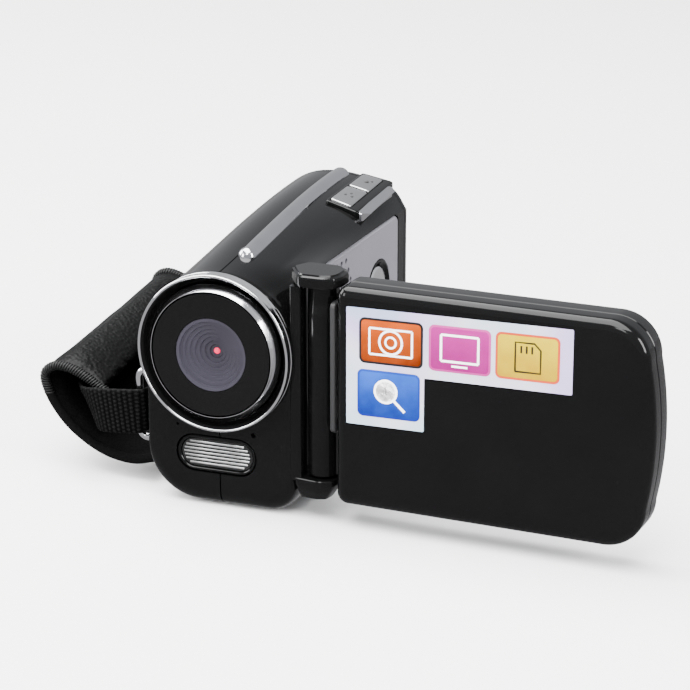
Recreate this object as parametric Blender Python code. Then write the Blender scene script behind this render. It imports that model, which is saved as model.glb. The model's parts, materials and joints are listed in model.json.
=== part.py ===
"""A pocket camcorder: a hollow two-half body with a ringed lens, a fold-out screen on a two-axis hinge,
push keys, a sliding battery door, a port flap and a padded hand strap.

Sizes are in millimetres and become metres where a mesh is made. +X is the screen's side, -Y is where the
lens looks, +Z is up. The origin is on the underside, below the lens axis.
"""

import math

import bmesh
import bpy
from mathutils import Matrix, Vector

MM = 0.001
GAP = 0.3  # clearance between neighbouring pieces

# Body
HALF_WIDTH = 18.0
AXIS_Z = 37.1  # height of the lens axis
FRONT_Y = -36.0
SKIN_END_Y = 34.0
REAR_Y = 37.5
TOP_FRONT = 17.4  # body's top above the lens axis, at the front
TOP_RISE = 6.9  # how much higher the top is at the rear
SHOULDER_Z = 16.9  # height of the right side's square shoulder above the lens axis
CORNER_LEFT = 12.0
CORNER_RIGHT = 7.0
WALL = 1.6
FRONT_ROUND = 1.6
CHIN_ROUND = 5.0

# Lens
RIM_Y = -39.6
FLANGE_R = 18.0
LIP_R = 15.6
GLASS_R = 14.0
GLASS_Y = -40.2
EYE_R = 8.3
BORE_R = LIP_R + GAP

# Lamp under the lens
LAMP_X, LAMP_Z = -0.9, 12.3
LAMP_W, LAMP_H = 17.2, 6.5

# Trim and keys on the top
STRIP_X = 1.9
STRIP_R = 2.2
STRIP_FRONT, STRIP_REAR = -25.6, 33.4
KEY_X = (7.4, 12.4)
KEY_YS = ((12.6, 23.6), (24.5, 34.2))
KEY_TRAVEL = 0.5
PLATE_X = (6.5, 14.6)
PLATE_Y = (11.6, 35.8)

# Side panel, its round button and the loudspeaker behind it
PANEL_Y = (-20.8, 29.7)
PANEL_Z = (8.0, 53.4)
PANEL_FACE = 18.1
PUSH_Y, PUSH_Z = 16.2, 38.1
PUSH_RING_R = 7.6
PUSH_R = 5.3
PUSH_TRAVEL = 0.6
HOLE_R = 0.65
HOLE_PITCH = 2.8
HOLE_COUNTS = (4, 4, 5, 4)
HOLE_Y, HOLE_Z = -13.2, 51.0

# Underside
BASE_X = (-5.5, 10.5)
BASE_Y = (-29.0, 6.0)
DOOR_Y = (6.4, 36.9)
BASE_THICK = 1.8
TRIPOD_X, TRIPOD_Y = 3.0, -15.0
TRIPOD_R = 3.175  # quarter-inch camera thread

# Rear face
REAR_BUTTONS = {
    "record_button": (5.0, 46.0, 5.0),
    "power_button": (-8.0, 49.0, 3.2),
    "play_button": (-8.0, 38.0, 2.6),
    "menu_button": (-8.0, 30.0, 2.6),
}
BUTTON_TRAVEL = 0.6
FLAP_X, FLAP_Z = (-6.0, 12.0), (9.0, 21.0)

# Screen hinge: a vertical axis, then a tilt axis along the panel
HINGE_X, HINGE_Y = 23.4, -31.8
OPEN_DEG = -2.6  # the panel stands this far past square
COLUMN_R = 3.6
SPINE_X = (18.3, 19.5)  # fixed wall of the hinge beside the column
SPINE_Y = (-36.2, -29.2)
COLUMN_Z = (10.0, 53.6)
PIN_R = 1.2
TILT_Z = 30.4
TILT_Y = -0.6  # from the hinge axis
SHAFT_R = 1.5
PLATE_IN = (3.6, 4.8)  # swivel plate, from the hinge axis along the panel

# Screen panel, measured from the hinge axis
LCD_X = (5.1, 76.8)
LCD_Z = (5.4, 55.2)
LCD_Y = (-6.0, 4.8)
LCD_SPLIT = -0.8
SCREEN_W, SCREEN_H = 36.6, 27.4  # a 1.8 inch display
SCREEN_X = 41.0
LABEL_SLOPE_DEG = 1.3

# Hand strap
PAD_Y = (-26.5, 28.0)
PAD_THICK = 2.4
BAND_W = 10.4
BAND_THICK = 1.2
RING_Z = (12.9, 28.9)
RING_X = (-21.4, -14.6)
RING_BAR = 0.85
RING_YS = (-32.0, 31.2)
STRAP_RISE = 9.0  # how much higher the strap's rear end is
STRAP_TUCK = 4.0  # how much nearer the body the pad's rear end is


def clear_scene():
    for obj in list(bpy.data.objects):
        bpy.data.objects.remove(obj)


def material(name, colour, roughness, metallic=0.0):
    found = bpy.data.materials.get(name)
    if found:
        return found
    made = bpy.data.materials.new(name)
    made.use_nodes = True
    shader = made.node_tree.nodes["Principled BSDF"]
    shader.inputs["Base Color"].default_value = (*colour, 1.0)
    shader.inputs["Roughness"].default_value = roughness
    shader.inputs["Metallic"].default_value = metallic
    return made


def gloss_black():
    return material("gloss_black", (0.02, 0.02, 0.022), 0.15)


def satin_black():
    return material("satin_black", (0.03, 0.03, 0.032), 0.42)


def chrome():
    return material("chrome", (0.82, 0.82, 0.83), 0.1, 1.0)


def silver():
    return material("silver", (0.55, 0.54, 0.56), 0.4, 0.6)


def steel():
    return material("steel", (0.6, 0.6, 0.6), 0.35, 1.0)


def board_green():
    return material("board_green", (0.03, 0.2, 0.1), 0.5)


def dark_glass():
    return material("dark_glass", (0.01, 0.01, 0.012), 0.04)


def leather():
    return material("leather", (0.03, 0.03, 0.03), 0.6)


def webbing():
    return material("webbing", (0.06, 0.06, 0.065), 0.85)


def mesh_object(name, points, faces, surface, origin=(0, 0, 0), parent=None):
    """An object at origin whose points are given in the same frame as origin, in millimetres."""
    centre = Vector(origin)
    shape = bmesh.new()
    made = [shape.verts.new((Vector(p) - centre) * MM) for p in points]
    for face in faces:
        shape.faces.new([made[i] for i in face])
    bmesh.ops.remove_doubles(shape, verts=shape.verts, dist=1e-7)
    bmesh.ops.dissolve_degenerate(shape, dist=1e-7, edges=shape.edges)
    bmesh.ops.recalc_face_normals(shape, faces=shape.faces)
    bmesh.ops.triangulate(shape, faces=shape.faces)
    mesh = bpy.data.meshes.new(name)
    shape.to_mesh(mesh)
    shape.free()
    mesh.materials.append(surface)
    mesh.shade_smooth()
    mesh.set_sharp_from_angle(angle=math.radians(32))
    obj = bpy.data.objects.new(name, mesh)
    obj.location = centre * MM
    obj.parent = parent
    bpy.context.scene.collection.objects.link(obj)
    return obj


def loft(name, rings, surface, origin=(0, 0, 0), parent=None):
    """Rings of equal length joined side to side, with both ends closed."""
    count = len(rings[0])
    points = [p for ring in rings for p in ring]
    faces = []
    for k in range(len(rings) - 1):
        for i in range(count):
            j = (i + 1) % count
            faces.append((k * count + i, k * count + j, (k + 1) * count + j, (k + 1) * count + i))
    faces.append(tuple(range(count)))
    faces.append(tuple(range((len(rings) - 1) * count, len(rings) * count)))
    return mesh_object(name, points, faces, surface, origin, parent)


def in_space(axis, u, v, s):
    """A point with s along axis and (u, v) along the other two axes, in X, Y, Z order."""
    if axis == "X":
        return (s, u, v)
    if axis == "Y":
        return (u, s, v)
    return (u, v, s)


def prism(name, outline, axis, low, high, surface, origin=(0, 0, 0), parent=None):
    rings = [[in_space(axis, u, v, s) for u, v in outline] for s in (low, high)]
    return loft(name, rings, surface, origin, parent)


def box(name, low, high, surface, origin=None, parent=None):
    outline = rectangle(low[0], low[1], high[0], high[1])
    middle = [(a + b) / 2 for a, b in zip(low, high)]
    return prism(name, outline, "Z", low[2], high[2], surface, origin or middle, parent)


def turned(name, profile, centre, axis, surface, steps=40, parent=None):
    """A closed outline of (radius, place along axis) turned about the line through centre."""
    cu, cv = centre
    points = []
    for k in range(steps):
        angle = 2 * math.pi * k / steps
        for radius, along in profile:
            u = cu + radius * math.cos(angle)
            v = cv + radius * math.sin(angle)
            points.append(in_space(axis, u, v, along))
    count = len(profile)
    faces = []
    for k in range(steps):
        after = (k + 1) % steps
        for i in range(count):
            j = (i + 1) % count
            if profile[i][0] == 0 and profile[j][0] == 0:
                continue
            faces.append((k * count + i, k * count + j, after * count + j, after * count + i))
    origin = in_space(axis, cu, cv, profile[0][1])
    return turned_mesh(name, points, faces, surface, origin, parent)


def turned_mesh(name, points, faces, surface, origin, parent):
    """Points on the axis fall together, so faces are made again from what is left of each."""
    index = {}
    merged = []
    place = []
    for p in points:
        key = tuple(round(c, 5) for c in p)
        if key not in index:
            index[key] = len(merged)
            merged.append(p)
        place.append(index[key])
    kept = []
    for face in faces:
        corners = list(dict.fromkeys(place[i] for i in face))
        if len(corners) > 2:
            kept.append(corners)
    return mesh_object(name, merged, kept, surface, origin, parent)


def disc(name, centre, axis, low, high, radius, surface, steps=32, parent=None):
    profile = [(0, low), (radius, low), (radius, high), (0, high)]
    return turned(name, profile, centre, axis, surface, steps, parent)


def rectangle(u0, v0, u1, v1):
    return [(u0, v0), (u1, v0), (u1, v1), (u0, v1)]


def rounded(u0, v0, u1, v1, radius, steps=4):
    """A rectangle with round corners, anticlockwise from its lower right corner's arc."""
    centres = ((u1 - radius, v0 + radius), (u1 - radius, v1 - radius))
    centres += ((u0 + radius, v1 - radius), (u0 + radius, v0 + radius))
    outline = []
    for quarter, (cu, cv) in enumerate(centres):
        for k in range(steps + 1):
            angle = math.pi / 2 * (quarter - 1 + k / steps)
            outline.append((cu + radius * math.cos(angle), cv + radius * math.sin(angle)))
    return outline


def helper(obj):
    obj.hide_render = True
    obj.display_type = "WIRE"
    return obj


def boolean(obj, other, operation):
    modifier = obj.modifiers.new(other.name, "BOOLEAN")
    modifier.operation = operation
    modifier.solver = "EXACT"
    modifier.object = other


def cut(obj, *cutters):
    for cutter in cutters:
        boolean(obj, cutter, "DIFFERENCE")


def top_height(y):
    """How far the body's top lies above the lens axis at y."""
    share = min(max((y - FRONT_Y) / (REAR_Y - FRONT_Y + 0.5), 0), 1)
    return TOP_FRONT + TOP_RISE * math.sin(math.pi / 2 * share) ** 1.25


def arc(centre, half_u, half_v, power, start, steps):
    """A quarter of a superellipse from start degrees, anticlockwise."""
    found = []
    for k in range(steps + 1):
        angle = math.radians(start + 90 * k / steps)
        c, s = math.cos(angle), math.sin(angle)
        u = centre[0] + half_u * math.copysign(abs(c) ** (2 / power), c)
        v = centre[1] + half_v * math.copysign(abs(s) ** (2 / power), s)
        found.append((u, v))
    return found


def ease(low, high, value):
    """0 below low, 1 above high and smooth between them."""
    share = min(max((value - low) / (high - low), 0), 1)
    return share * share * (3 - 2 * share)


def right_shoulder(y, half, top):
    """From the right side up to the top's middle: round at the front, with a square shoulder behind."""
    square = ease(FRONT_Y + 1.5, PANEL_Y[0] + 1, y)
    crease_x = 9.8 + 1.0 * ease(FRONT_Y, FRONT_Y + 10, y) - (HALF_WIDTH - half)
    drop = 2.9 - 1.0 * ease(FRONT_Y, FRONT_Y + 12, y)
    crease_z = top - drop
    end = math.degrees(math.acos(crease_x / half))
    heights = (0.0, 6.0, 11.5, SHOULDER_Z - 0.9, SHOULDER_Z - 0.1)
    outline = []
    for k, height in enumerate(heights):
        angle = math.radians(end * k / 5)
        round_x, round_z = half * math.cos(angle), half * math.sin(angle)
        edge_x = half - (0.35 if k == 4 else 0.0)
        edge_z = height * (1 - (HALF_WIDTH - half) / SHOULDER_Z)
        outline.append((round_x + (edge_x - round_x) * square, round_z + (edge_z - round_z) * square))
    bulge = 0.9 * ease(-5, 30, y)
    edge = outline[-1]
    outline.append(((edge[0] + crease_x) / 2 + bulge, (edge[1] + crease_z) / 2 + bulge))
    for k in range(6):
        x = crease_x * (1 - k / 5)
        outline.append((x, top - drop * (x / crease_x) ** 2.1))
    return [(x, AXIS_Z + z) for x, z in outline]


def body_section(y, inset, chin=0.0):
    """The body's outline at y, drawn in by inset all round and raised by chin at the bottom."""
    share = min(max((y - FRONT_Y) / (REAR_Y - FRONT_Y), 0), 1)
    half = HALF_WIDTH - inset
    top = top_height(y) - inset
    low = inset + chin
    left = max(CORNER_LEFT - inset, 1.0)
    right = max(CORNER_RIGHT - inset, 1.0)
    outline = right_shoulder(y, half, top)
    outline += arc((0, AXIS_Z), half, top, 2 + 0.4 * share, 90, 9)[1:]
    outline += arc((left - half, low + left), left, left, 2, 180, 5)
    outline += arc((half - right, low + right), right, right, 2, 270, 4)
    return [(x, y, z) for x, z in outline]


def quarter_round(depth, radius):
    """How far a rounded edge of this radius is drawn in at a depth behind its front."""
    inside = max(radius - depth, 0)
    return radius - math.sqrt(max(radius**2 - inside**2, 0))


def body_form(name, grow, front, rear):
    """The body's outer form, closed at both ends; grow widens it all round."""
    steps = [0, 0.35, 1.0, 1.6, 2.8, 5.0, 11, 18, 26, 34, 44, 54, 62]
    stations = [front] + [FRONT_Y + s for s in steps if front < FRONT_Y + s < rear] + [rear]
    rings = []
    for y in stations:
        depth = max(y - FRONT_Y, 0)
        side = quarter_round(depth, FRONT_ROUND) * 0.8
        chin = quarter_round(depth, CHIN_ROUND) * 0.6
        rings.append(body_section(y, side - grow, chin))
    return helper(loft(name, rings, gloss_black()))


def body_skin(name, surface):
    """The body's wall as one open-backed shell, to be split and pierced."""
    shell = body_form(name, 0, FRONT_Y, SKIN_END_Y)
    shell.hide_render = False
    shell.display_type = "TEXTURED"
    shell.data.materials.clear()
    shell.data.materials.append(surface)
    cut(shell, bpy.data.objects["cavity"])
    return shell


def make_cutters():
    """Tools that several pieces share."""
    helper(body_form("cavity", -WALL, FRONT_Y + WALL, REAR_Y))
    helper(body_form("outer_form", GAP, FRONT_Y - 0.2, REAR_Y + 2))
    helper(box("right_of_seam", (-GAP / 2, -60, -5), (60, 60, 80), steel()))
    helper(box("left_of_seam", (-60, -60, -5), (GAP / 2, 60, 80), steel()))
    helper(disc("lens_bore", (0, AXIS_Z), "Y", FRONT_Y - 3, FRONT_Y + 4, BORE_R, steel(), 48))
    lamp = lamp_outline(1.2)
    helper(prism("lamp_hole", lamp, "Y", FRONT_Y - 3, FRONT_Y + 4, steel()))
    helper(disc("mic_hole", (8.2, 18.1), "Y", FRONT_Y - 3, FRONT_Y + 4, 0.6, steel(), 10))
    panel = rounded(PANEL_Y[0] - GAP, PANEL_Z[0] - GAP, PANEL_Y[1] + GAP, PANEL_Z[1] + GAP, 2.0, 3)
    helper(prism("panel_window", panel, "X", 6, 30, steel()))
    base = rectangle(BASE_X[0] - GAP, BASE_Y[0] - GAP, BASE_X[1] + GAP, DOOR_Y[1] + 3)
    helper(prism("base_window", base, "Z", -2, 4, steel()))
    well = rectangle(KEY_X[0] - GAP, KEY_YS[0][0] - GAP, KEY_X[1] + GAP, KEY_YS[1][1] + GAP)
    helper(prism("key_well", well, "Z", 50, 66, steel()))


def cutter(name):
    return bpy.data.objects[name]


def lamp_outline(grow):
    return rounded(
        LAMP_X - LAMP_W / 2 - grow,
        LAMP_Z - LAMP_H / 2 - grow,
        LAMP_X + LAMP_W / 2 + grow,
        LAMP_Z + LAMP_H / 2 + grow,
        LAMP_H / 2 + grow,
        7,
    )


def make_shells():
    left = body_skin("left_shell", gloss_black())
    cut(left, cutter("right_of_seam"))
    right = body_skin("right_shell", gloss_black())
    cut(right, cutter("left_of_seam"), cutter("panel_window"), cutter("key_well"))
    cut(right, cutter("mic_hole"))
    for shell in (left, right):
        cut(shell, cutter("lens_bore"), cutter("lamp_hole"), cutter("base_window"))


def rear_rings(front, rear, edge, grow=0.0):
    """Sections of the rear cap, which rounds over at its back edge."""
    rings = []
    for depth in (rear - front, edge, edge * 0.55, edge * 0.2, 0):
        rings.append(body_section(rear - depth, quarter_round(depth, edge) - grow))
    return rings


def make_rear_cover():
    cover = loft("rear_cover", rear_rings(SKIN_END_Y + GAP, REAR_Y, 2.2), gloss_black())
    for name, (x, z, radius) in REAR_BUTTONS.items():
        hole = disc(name + "_hole", (x, z), "Y", SKIN_END_Y - 2, REAR_Y + 3, radius + GAP, steel(), 28)
        cut(cover, helper(hole))
    pocket = rounded(FLAP_X[0] - GAP, FLAP_Z[0] - GAP, FLAP_X[1] + GAP, FLAP_Z[1] + GAP, 0.9)
    cut(cover, helper(prism("flap_pocket", pocket, "Y", SKIN_END_Y - 2, REAR_Y + 3, steel())))
    for index, (x, z) in enumerate(screw_places()):
        bore = disc(f"screw_bore_{index}", (x, z), "Y", SKIN_END_Y - 2, REAR_Y + 3, 1.9, steel(), 16)
        cut(cover, helper(bore))
    cut(cover, cutter("base_window"), cutter("key_well"))


def screw_places():
    return ((-12.6, 12.4), (-8.0, 55.2), (14.6, 26.0))


def make_screws():
    for index, (x, z) in enumerate(screw_places()):
        profile = [(0, 36.6), (1.5, 36.4), (1.5, 35.6), (0.8, 35.0), (0.8, 29.0), (0, 29.0)]
        screw = turned(f"case_screw_{index + 1}", profile, (x, z), "Y", steel(), 16)
        bar = box(f"screw_slot_{index}", (x - 0.9, 36.1, z - 0.2), (x + 0.9, 37.5, z + 0.2), steel())
        cut(screw, helper(bar))


def make_rear_buttons():
    for name, (x, z, radius) in REAR_BUTTONS.items():
        low = SKIN_END_Y + 0.8
        high = REAR_Y + 0.9
        crown = radius * 0.8
        profile = [(0, low), (radius, low), (radius, high - 0.5), (crown, high), (0, high)]
        turned(name, profile, (x, z), "Y", chrome() if name == "record_button" else satin_black(), 28)


def make_port_flap():
    outline = rounded(FLAP_X[0], FLAP_Z[0], FLAP_X[1], FLAP_Z[1], 0.7)
    hinge = (FLAP_X[0] + 0.9, REAR_Y - 0.65, FLAP_Z[0])
    prism("port_flap", outline, "Y", REAR_Y - 1.4, REAR_Y + 0.1, satin_black(), hinge)
    box("usb_socket", (-1.0, 27.0, 12.0), (6.7, 34.6, 15.0), steel())


def make_lens():
    flange = [
        (FLANGE_R, FRONT_Y - GAP),
        (FLANGE_R, RIM_Y + 0.5),
        (FLANGE_R - 0.15, RIM_Y + 0.2),
        (FLANGE_R - 0.45, RIM_Y),
        (FLANGE_R - 0.8, RIM_Y + 0.15),
        (FLANGE_R - 0.95, RIM_Y + 0.6),
        (FLANGE_R - 0.95, RIM_Y + 2.4),
        (BORE_R, RIM_Y + 2.4),
        (BORE_R, FRONT_Y - GAP),
    ]
    turned("bezel_flange", flange, (0, AXIS_Z), "Y", chrome(), 56)
    lip = [
        (GLASS_R + GAP, GLASS_Y),
        (LIP_R, GLASS_Y + 1.6),
        (LIP_R, FRONT_Y + 2.5),
        (GLASS_R + GAP, FRONT_Y + 2.5),
    ]
    turned("lens_lip", lip, (0, AXIS_Z), "Y", chrome(), 56)
    window = [
        (EYE_R + GAP, GLASS_Y),
        (GLASS_R, GLASS_Y),
        (GLASS_R, GLASS_Y + 1.4),
        (EYE_R + GAP, GLASS_Y + 1.4),
    ]
    turned("lens_window", window, (0, AXIS_Z), "Y", dark_glass(), 48)
    disc("lens_glass", (0, AXIS_Z), "Y", GLASS_Y + 0.1, GLASS_Y + 1.2, EYE_R, dark_glass(), 40)
    barrel_front, barrel_rear = GLASS_Y + 1.8, -14.0
    barrel = [
        (EYE_R, barrel_front),
        (GLASS_R - 0.4, barrel_front),
        (GLASS_R - 0.4, -26.0),
        (9.0, -26.0),
        (9.0, barrel_rear),
        (4.0, barrel_rear),
        (4.0, barrel_rear - 1.5),
        (6.6, barrel_rear - 1.5),
        (6.6, -36.0),
    ]
    turned("lens_barrel", barrel, (0, AXIS_Z), "Y", satin_black(), 32)
    y, radius, bulge = -33.0, 6.2, 1.2
    element = [(0, y - 1 - bulge), (radius * 0.6, y - 1 - bulge * 0.6), (radius, y - 1)]
    element += [(radius, y + 1), (radius * 0.6, y + 1 + bulge * 0.6), (0, y + 1 + bulge)]
    turned("lens_element", element, (0, AXIS_Z), "Y", dark_glass(), 24)
    box("image_sensor", (-4.5, -12.6, AXIS_Z - 4.5), (4.5, -11.3, AXIS_Z + 4.5), steel())
    box("sensor_board", (-11.0, -11.0, AXIS_Z - 10), (11.0, -9.8, AXIS_Z + 10), board_green())


def make_lamp():
    ring = prism("lamp_frame", lamp_outline(0.9), "Y", FRONT_Y + 0.2, FRONT_Y + 2.6, satin_black())
    hole = prism("lamp_frame_hole", lamp_outline(GAP), "Y", FRONT_Y - 1, FRONT_Y + 4, steel())
    cut(ring, helper(hole))
    lens = prism("lamp_lens", lamp_outline(0), "Y", FRONT_Y + 0.1, FRONT_Y + 1.8, chrome())
    low, high = LAMP_Z - LAMP_H / 2, LAMP_Z + LAMP_H / 2
    ribs = 7
    pitch = (high - low) / ribs
    for k in range(1, ribs):
        z = low + k * pitch
        notch = [(FRONT_Y - 0.2, z - 0.42), (FRONT_Y + 0.75, z), (FRONT_Y - 0.2, z + 0.42)]
        cut(lens, helper(prism(f"rib_notch_{k}", notch, "X", -14, 14, steel())))
    box("lamp_board", (-9.0, -33.0, 8.6), (7.0, -31.8, 16.0), board_green())
    disc("microphone", (8.2, 18.1), "Y", -34.0, -31.0, 1.6, steel(), 16)


def make_top_strip():
    """A half-round bar that follows the body's top and rounds off at its front end."""
    rings = []
    tip = STRIP_R * 0.9
    for k in range(5):
        along = tip * (1 - math.cos(math.pi / 2 * k / 4))
        rings.append((STRIP_FRONT + along, math.sin(math.pi / 2 * max(k, 0.6) / 4)))
    for k in range(1, 10):
        rings.append((STRIP_FRONT + tip + (STRIP_REAR - STRIP_FRONT - tip) * k / 9, 1.0))
    sections = []
    for y, size in rings:
        base = AXIS_Z + top_height(y) - 0.9
        radius = STRIP_R * size
        section = [(STRIP_X + radius, y, base - 0.8), (STRIP_X + radius, y, base)]
        for k in range(1, 8):
            angle = math.pi * k / 8
            lift = radius * 1.05 * math.sin(angle)
            section.append((STRIP_X + radius * math.cos(angle), y, base + lift))
        section += [(STRIP_X - radius, y, base), (STRIP_X - radius, y, base - 0.8)]
        sections.append(section)
    strip = loft("top_strip", sections, chrome())
    cut(strip, cutter("outer_form"))


def plate_top(x, y):
    """Height of the key plate's sloping top."""
    along = (y - PLATE_Y[0]) / (PLATE_Y[1] - PLATE_Y[0])
    across = (x - PLATE_X[0]) / (PLATE_X[1] - PLATE_X[0])
    return 60.2 + 0.95 * along - (2.3 - 0.8 * along) * across


def sloped_block(name, xs, ys, lift, depth, surface):
    """A block whose top follows the key plate's slope, lift above it, with a soft rim."""
    rim = 0.35
    rings = []
    for level, inset in ((-depth, 0.0), (lift - rim, 0.0), (lift, rim)):
        ring = []
        for x, y in rectangle(xs[0] + inset, ys[0] + inset, xs[1] - inset, ys[1] - inset):
            ring.append((x, y, plate_top(x, y) + level))
        rings.append(ring)
    return loft(name, rings, surface)


def make_top_keys():
    plate = sloped_block("key_plate", PLATE_X, PLATE_Y, 0.2, 7.0, gloss_black())
    cut(plate, cutter("key_well"), cutter("outer_form"))
    trim_x = (PLATE_X[1] + GAP, PLATE_X[1] + GAP + 0.7)
    trim = sloped_block("key_trim", trim_x, (PLATE_Y[0] + 0.2, PLATE_Y[1] - 3.2), 0.0, 5.0, silver())
    cut(trim, cutter("outer_form"))
    for name, ys in zip(("top_key_front", "top_key_rear"), KEY_YS):
        sloped_block(name, KEY_X, ys, 0.6, 1.4, chrome())
    low = AXIS_Z + 15.0
    box("key_board", (6.0, 12.0, low), (13.2, 33.0, low + 1.0), board_green())


def make_side():
    rings = []
    for x, inset in ((PANEL_FACE - WALL, 0.0), (PANEL_FACE - 0.6, 0.0), (PANEL_FACE, 0.6)):
        outline = rounded(
            PANEL_Y[0] + inset, PANEL_Z[0] + inset, PANEL_Y[1] - inset, PANEL_Z[1] - inset, 1.7 - inset, 3
        )
        rings.append([(x, y, z) for y, z in outline])
    panel = loft("side_panel", rings, silver())
    hole = disc("push_hole", (PUSH_Y, PUSH_Z), "X", 10, 24, PUSH_RING_R + GAP, steel(), 32)
    cut(panel, helper(hole))
    for row, count in enumerate(HOLE_COUNTS):
        for k in range(count):
            y = HOLE_Y + (k + 0.5 * (row % 2)) * HOLE_PITCH
            z = HOLE_Z - row * HOLE_PITCH * 0.9
            bore = disc(f"sound_hole_{row}_{k}", (y, z), "X", 10, 24, HOLE_R, steel(), 8)
            cut(panel, helper(bore))
    face = HALF_WIDTH + 0.25
    ring = [
        (PUSH_R + GAP, HALF_WIDTH - 2.2),
        (PUSH_RING_R, HALF_WIDTH - 2.2),
        (PUSH_RING_R, face - 0.3),
        (PUSH_RING_R - 0.6, face),
        (PUSH_R + GAP, face - 0.5),
    ]
    turned("push_ring", ring, (PUSH_Y, PUSH_Z), "X", chrome(), 32)
    push = [(0, 16.0), (PUSH_R, 16.0), (PUSH_R, face - 0.5), (PUSH_R - 0.9, face - 0.1), (0, face)]
    turned("side_button", push, (PUSH_Y, PUSH_Z), "X", silver(), 32)
    disc("push_switch", (PUSH_Y, PUSH_Z), "X", 13.0, 15.0, 2.4, steel(), 16)
    disc("loudspeaker", (HOLE_Y + 2 * HOLE_PITCH, HOLE_Z - 4.6), "X", 12.0, 14.8, 5.0, steel(), 24)


def make_underside():
    base = rectangle(BASE_X[0], BASE_Y[0], BASE_X[1], BASE_Y[1])
    plate = prism("base_plate", base, "Z", 0, BASE_THICK, satin_black())
    insert_r = 4.4
    hole = disc("tripod_hole", (TRIPOD_X, TRIPOD_Y), "Z", -2, 4, insert_r + GAP, steel(), 28)
    cut(plate, helper(hole))
    insert = [(TRIPOD_R, 0.1), (insert_r, 0.1), (insert_r, 5.6), (TRIPOD_R, 5.6)]
    turned("tripod_insert", insert, (TRIPOD_X, TRIPOD_Y), "Z", material("brass", (0.7, 0.5, 0.2), 0.3, 1.0), 28)
    door = rectangle(BASE_X[0], DOOR_Y[0], BASE_X[1], DOOR_Y[1])
    cover = prism("battery_door", door, "Z", 0.1, BASE_THICK, satin_black())
    for k in range(4):
        y = DOOR_Y[0] + 3 + 1.6 * k
        groove = box(f"grip_groove_{k}", (-1.5, y, -1), (6.5, y + 0.8, 0.5), steel())
        cut(cover, helper(groove))


def make_inside():
    box("battery", (-5.0, 8.0, 3.0), (6.0, 25.4, 46.0), material("cell_wrap", (0.05, 0.12, 0.3), 0.4))
    box("battery_contact", (-3.0, 8.5, 46.5), (4.0, 13.0, 47.3), chrome())
    box("main_board", (-13.2, -7.0, 14.0), (-12.0, 28.4, 48.0), board_green())
    box("card_socket", (-11.7, 14.0, 16.0), (-9.2, 28.0, 31.0), steel())
    box("rear_button_board", (-11.4, 31.0, 24.0), (10.8, 32.0, 51.5), board_green())


def lcd_frame_empty():
    """The vertical hinge axis, turned to the angle at which the panel stands open."""
    arm = bpy.data.objects.new("screen_hinge_axis", None)
    arm.location = Vector((HINGE_X, HINGE_Y, 0)) * MM
    arm.rotation_euler = (0, 0, math.radians(OPEN_DEG))
    bpy.context.scene.collection.objects.link(arm)
    return arm


def make_hinge(arm):
    cap = [(18.4, HINGE_Y - 4.9), (19.6, HINGE_Y - 5.6), (25.0, HINGE_Y - 5.6), (27.6, HINGE_Y - 4.6)]
    cap += [(28.6, HINGE_Y - 2), (28.6, HINGE_Y + 2), (27.0, HINGE_Y + 4.4), (24.6, HINGE_Y + 5.2)]
    cap += [(14.0, HINGE_Y + 5.2), (12.0, HINGE_Y + 1)]
    top = loft(
        "hinge_cap",
        [
            [(x, y, COLUMN_Z[1] + GAP) for x, y in cap],
            [(x, y, COLUMN_Z[1] + 2.1) for x, y in cap],
            [(HINGE_X + (x - HINGE_X) * 0.85, HINGE_Y + (y - HINGE_Y) * 0.8, COLUMN_Z[1] + 3.6) for x, y in cap],
        ],
        gloss_black(),
    )
    foot = [(18.0, HINGE_Y - 4.4), (24.0, HINGE_Y - 5.2), (27.0, HINGE_Y - 4.0), (27.8, HINGE_Y)]
    foot += [(26.6, HINGE_Y + 3.2), (24.0, HINGE_Y + 4.5), (18.0, HINGE_Y + 4.2)]
    bottom = loft(
        "hinge_foot",
        [
            [(HINGE_X - 1.5 + (x - HINGE_X) * 0.62, HINGE_Y + (y - HINGE_Y) * 0.75, 4.8) for x, y in foot],
            [(x, y, COLUMN_Z[0] - GAP - 1.2) for x, y in foot],
            [(x, y, COLUMN_Z[0] - GAP) for x, y in foot],
        ],
        gloss_black(),
    )
    spine = [(SPINE_X[1], SPINE_Y[0] + 0.5), (SPINE_X[1], SPINE_Y[1]), (17.0, SPINE_Y[1]), (17.0, SPINE_Y[0])]
    spine.append((SPINE_X[1] - 0.5, SPINE_Y[0]))
    wall = helper(prism("hinge_spine", spine, "Z", COLUMN_Z[0] - 1.0, COLUMN_Z[1], gloss_black()))
    boolean(bottom, wall, "UNION")
    pin_hole = helper(disc("pin_socket", (HINGE_X, HINGE_Y), "Z", 7.0, 55.8, PIN_R + 0.05, steel(), 20))
    cut(top, cutter("outer_form"), pin_hole)
    cut(bottom, cutter("outer_form"), pin_hole)
    disc("hinge_pin", (HINGE_X, HINGE_Y), "Z", 7.3, 55.4, PIN_R, steel(), 20)
    column = prism("hinge_column", column_outline(), "Z", COLUMN_Z[0], COLUMN_Z[1], gloss_black(), (0, 0, 0), arm)
    bore = helper(disc("column_bore", (0, 0), "Z", 5, 60, PIN_R + 0.05, steel(), 20, arm))
    socket = disc("shaft_socket", (TILT_Y, TILT_Z), "X", 1.6, 12, SHAFT_R + GAP, steel(), 20, arm)
    cut(column, bore, helper(socket))
    plate = rounded(-5.0, 21.4, 3.8, 51.0, 1.2)
    swivel = prism("swivel_plate", plate, "X", PLATE_IN[0], PLATE_IN[1], satin_black(), (0, 0, 0), arm)
    cut(swivel, cutter("shaft_socket"))
    shaft = [(0, 1.9), (SHAFT_R, 1.9), (SHAFT_R, 9.5), (0, 9.5)]
    turned("tilt_shaft", shaft, (TILT_Y, TILT_Z), "X", steel(), 20, arm)


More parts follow.
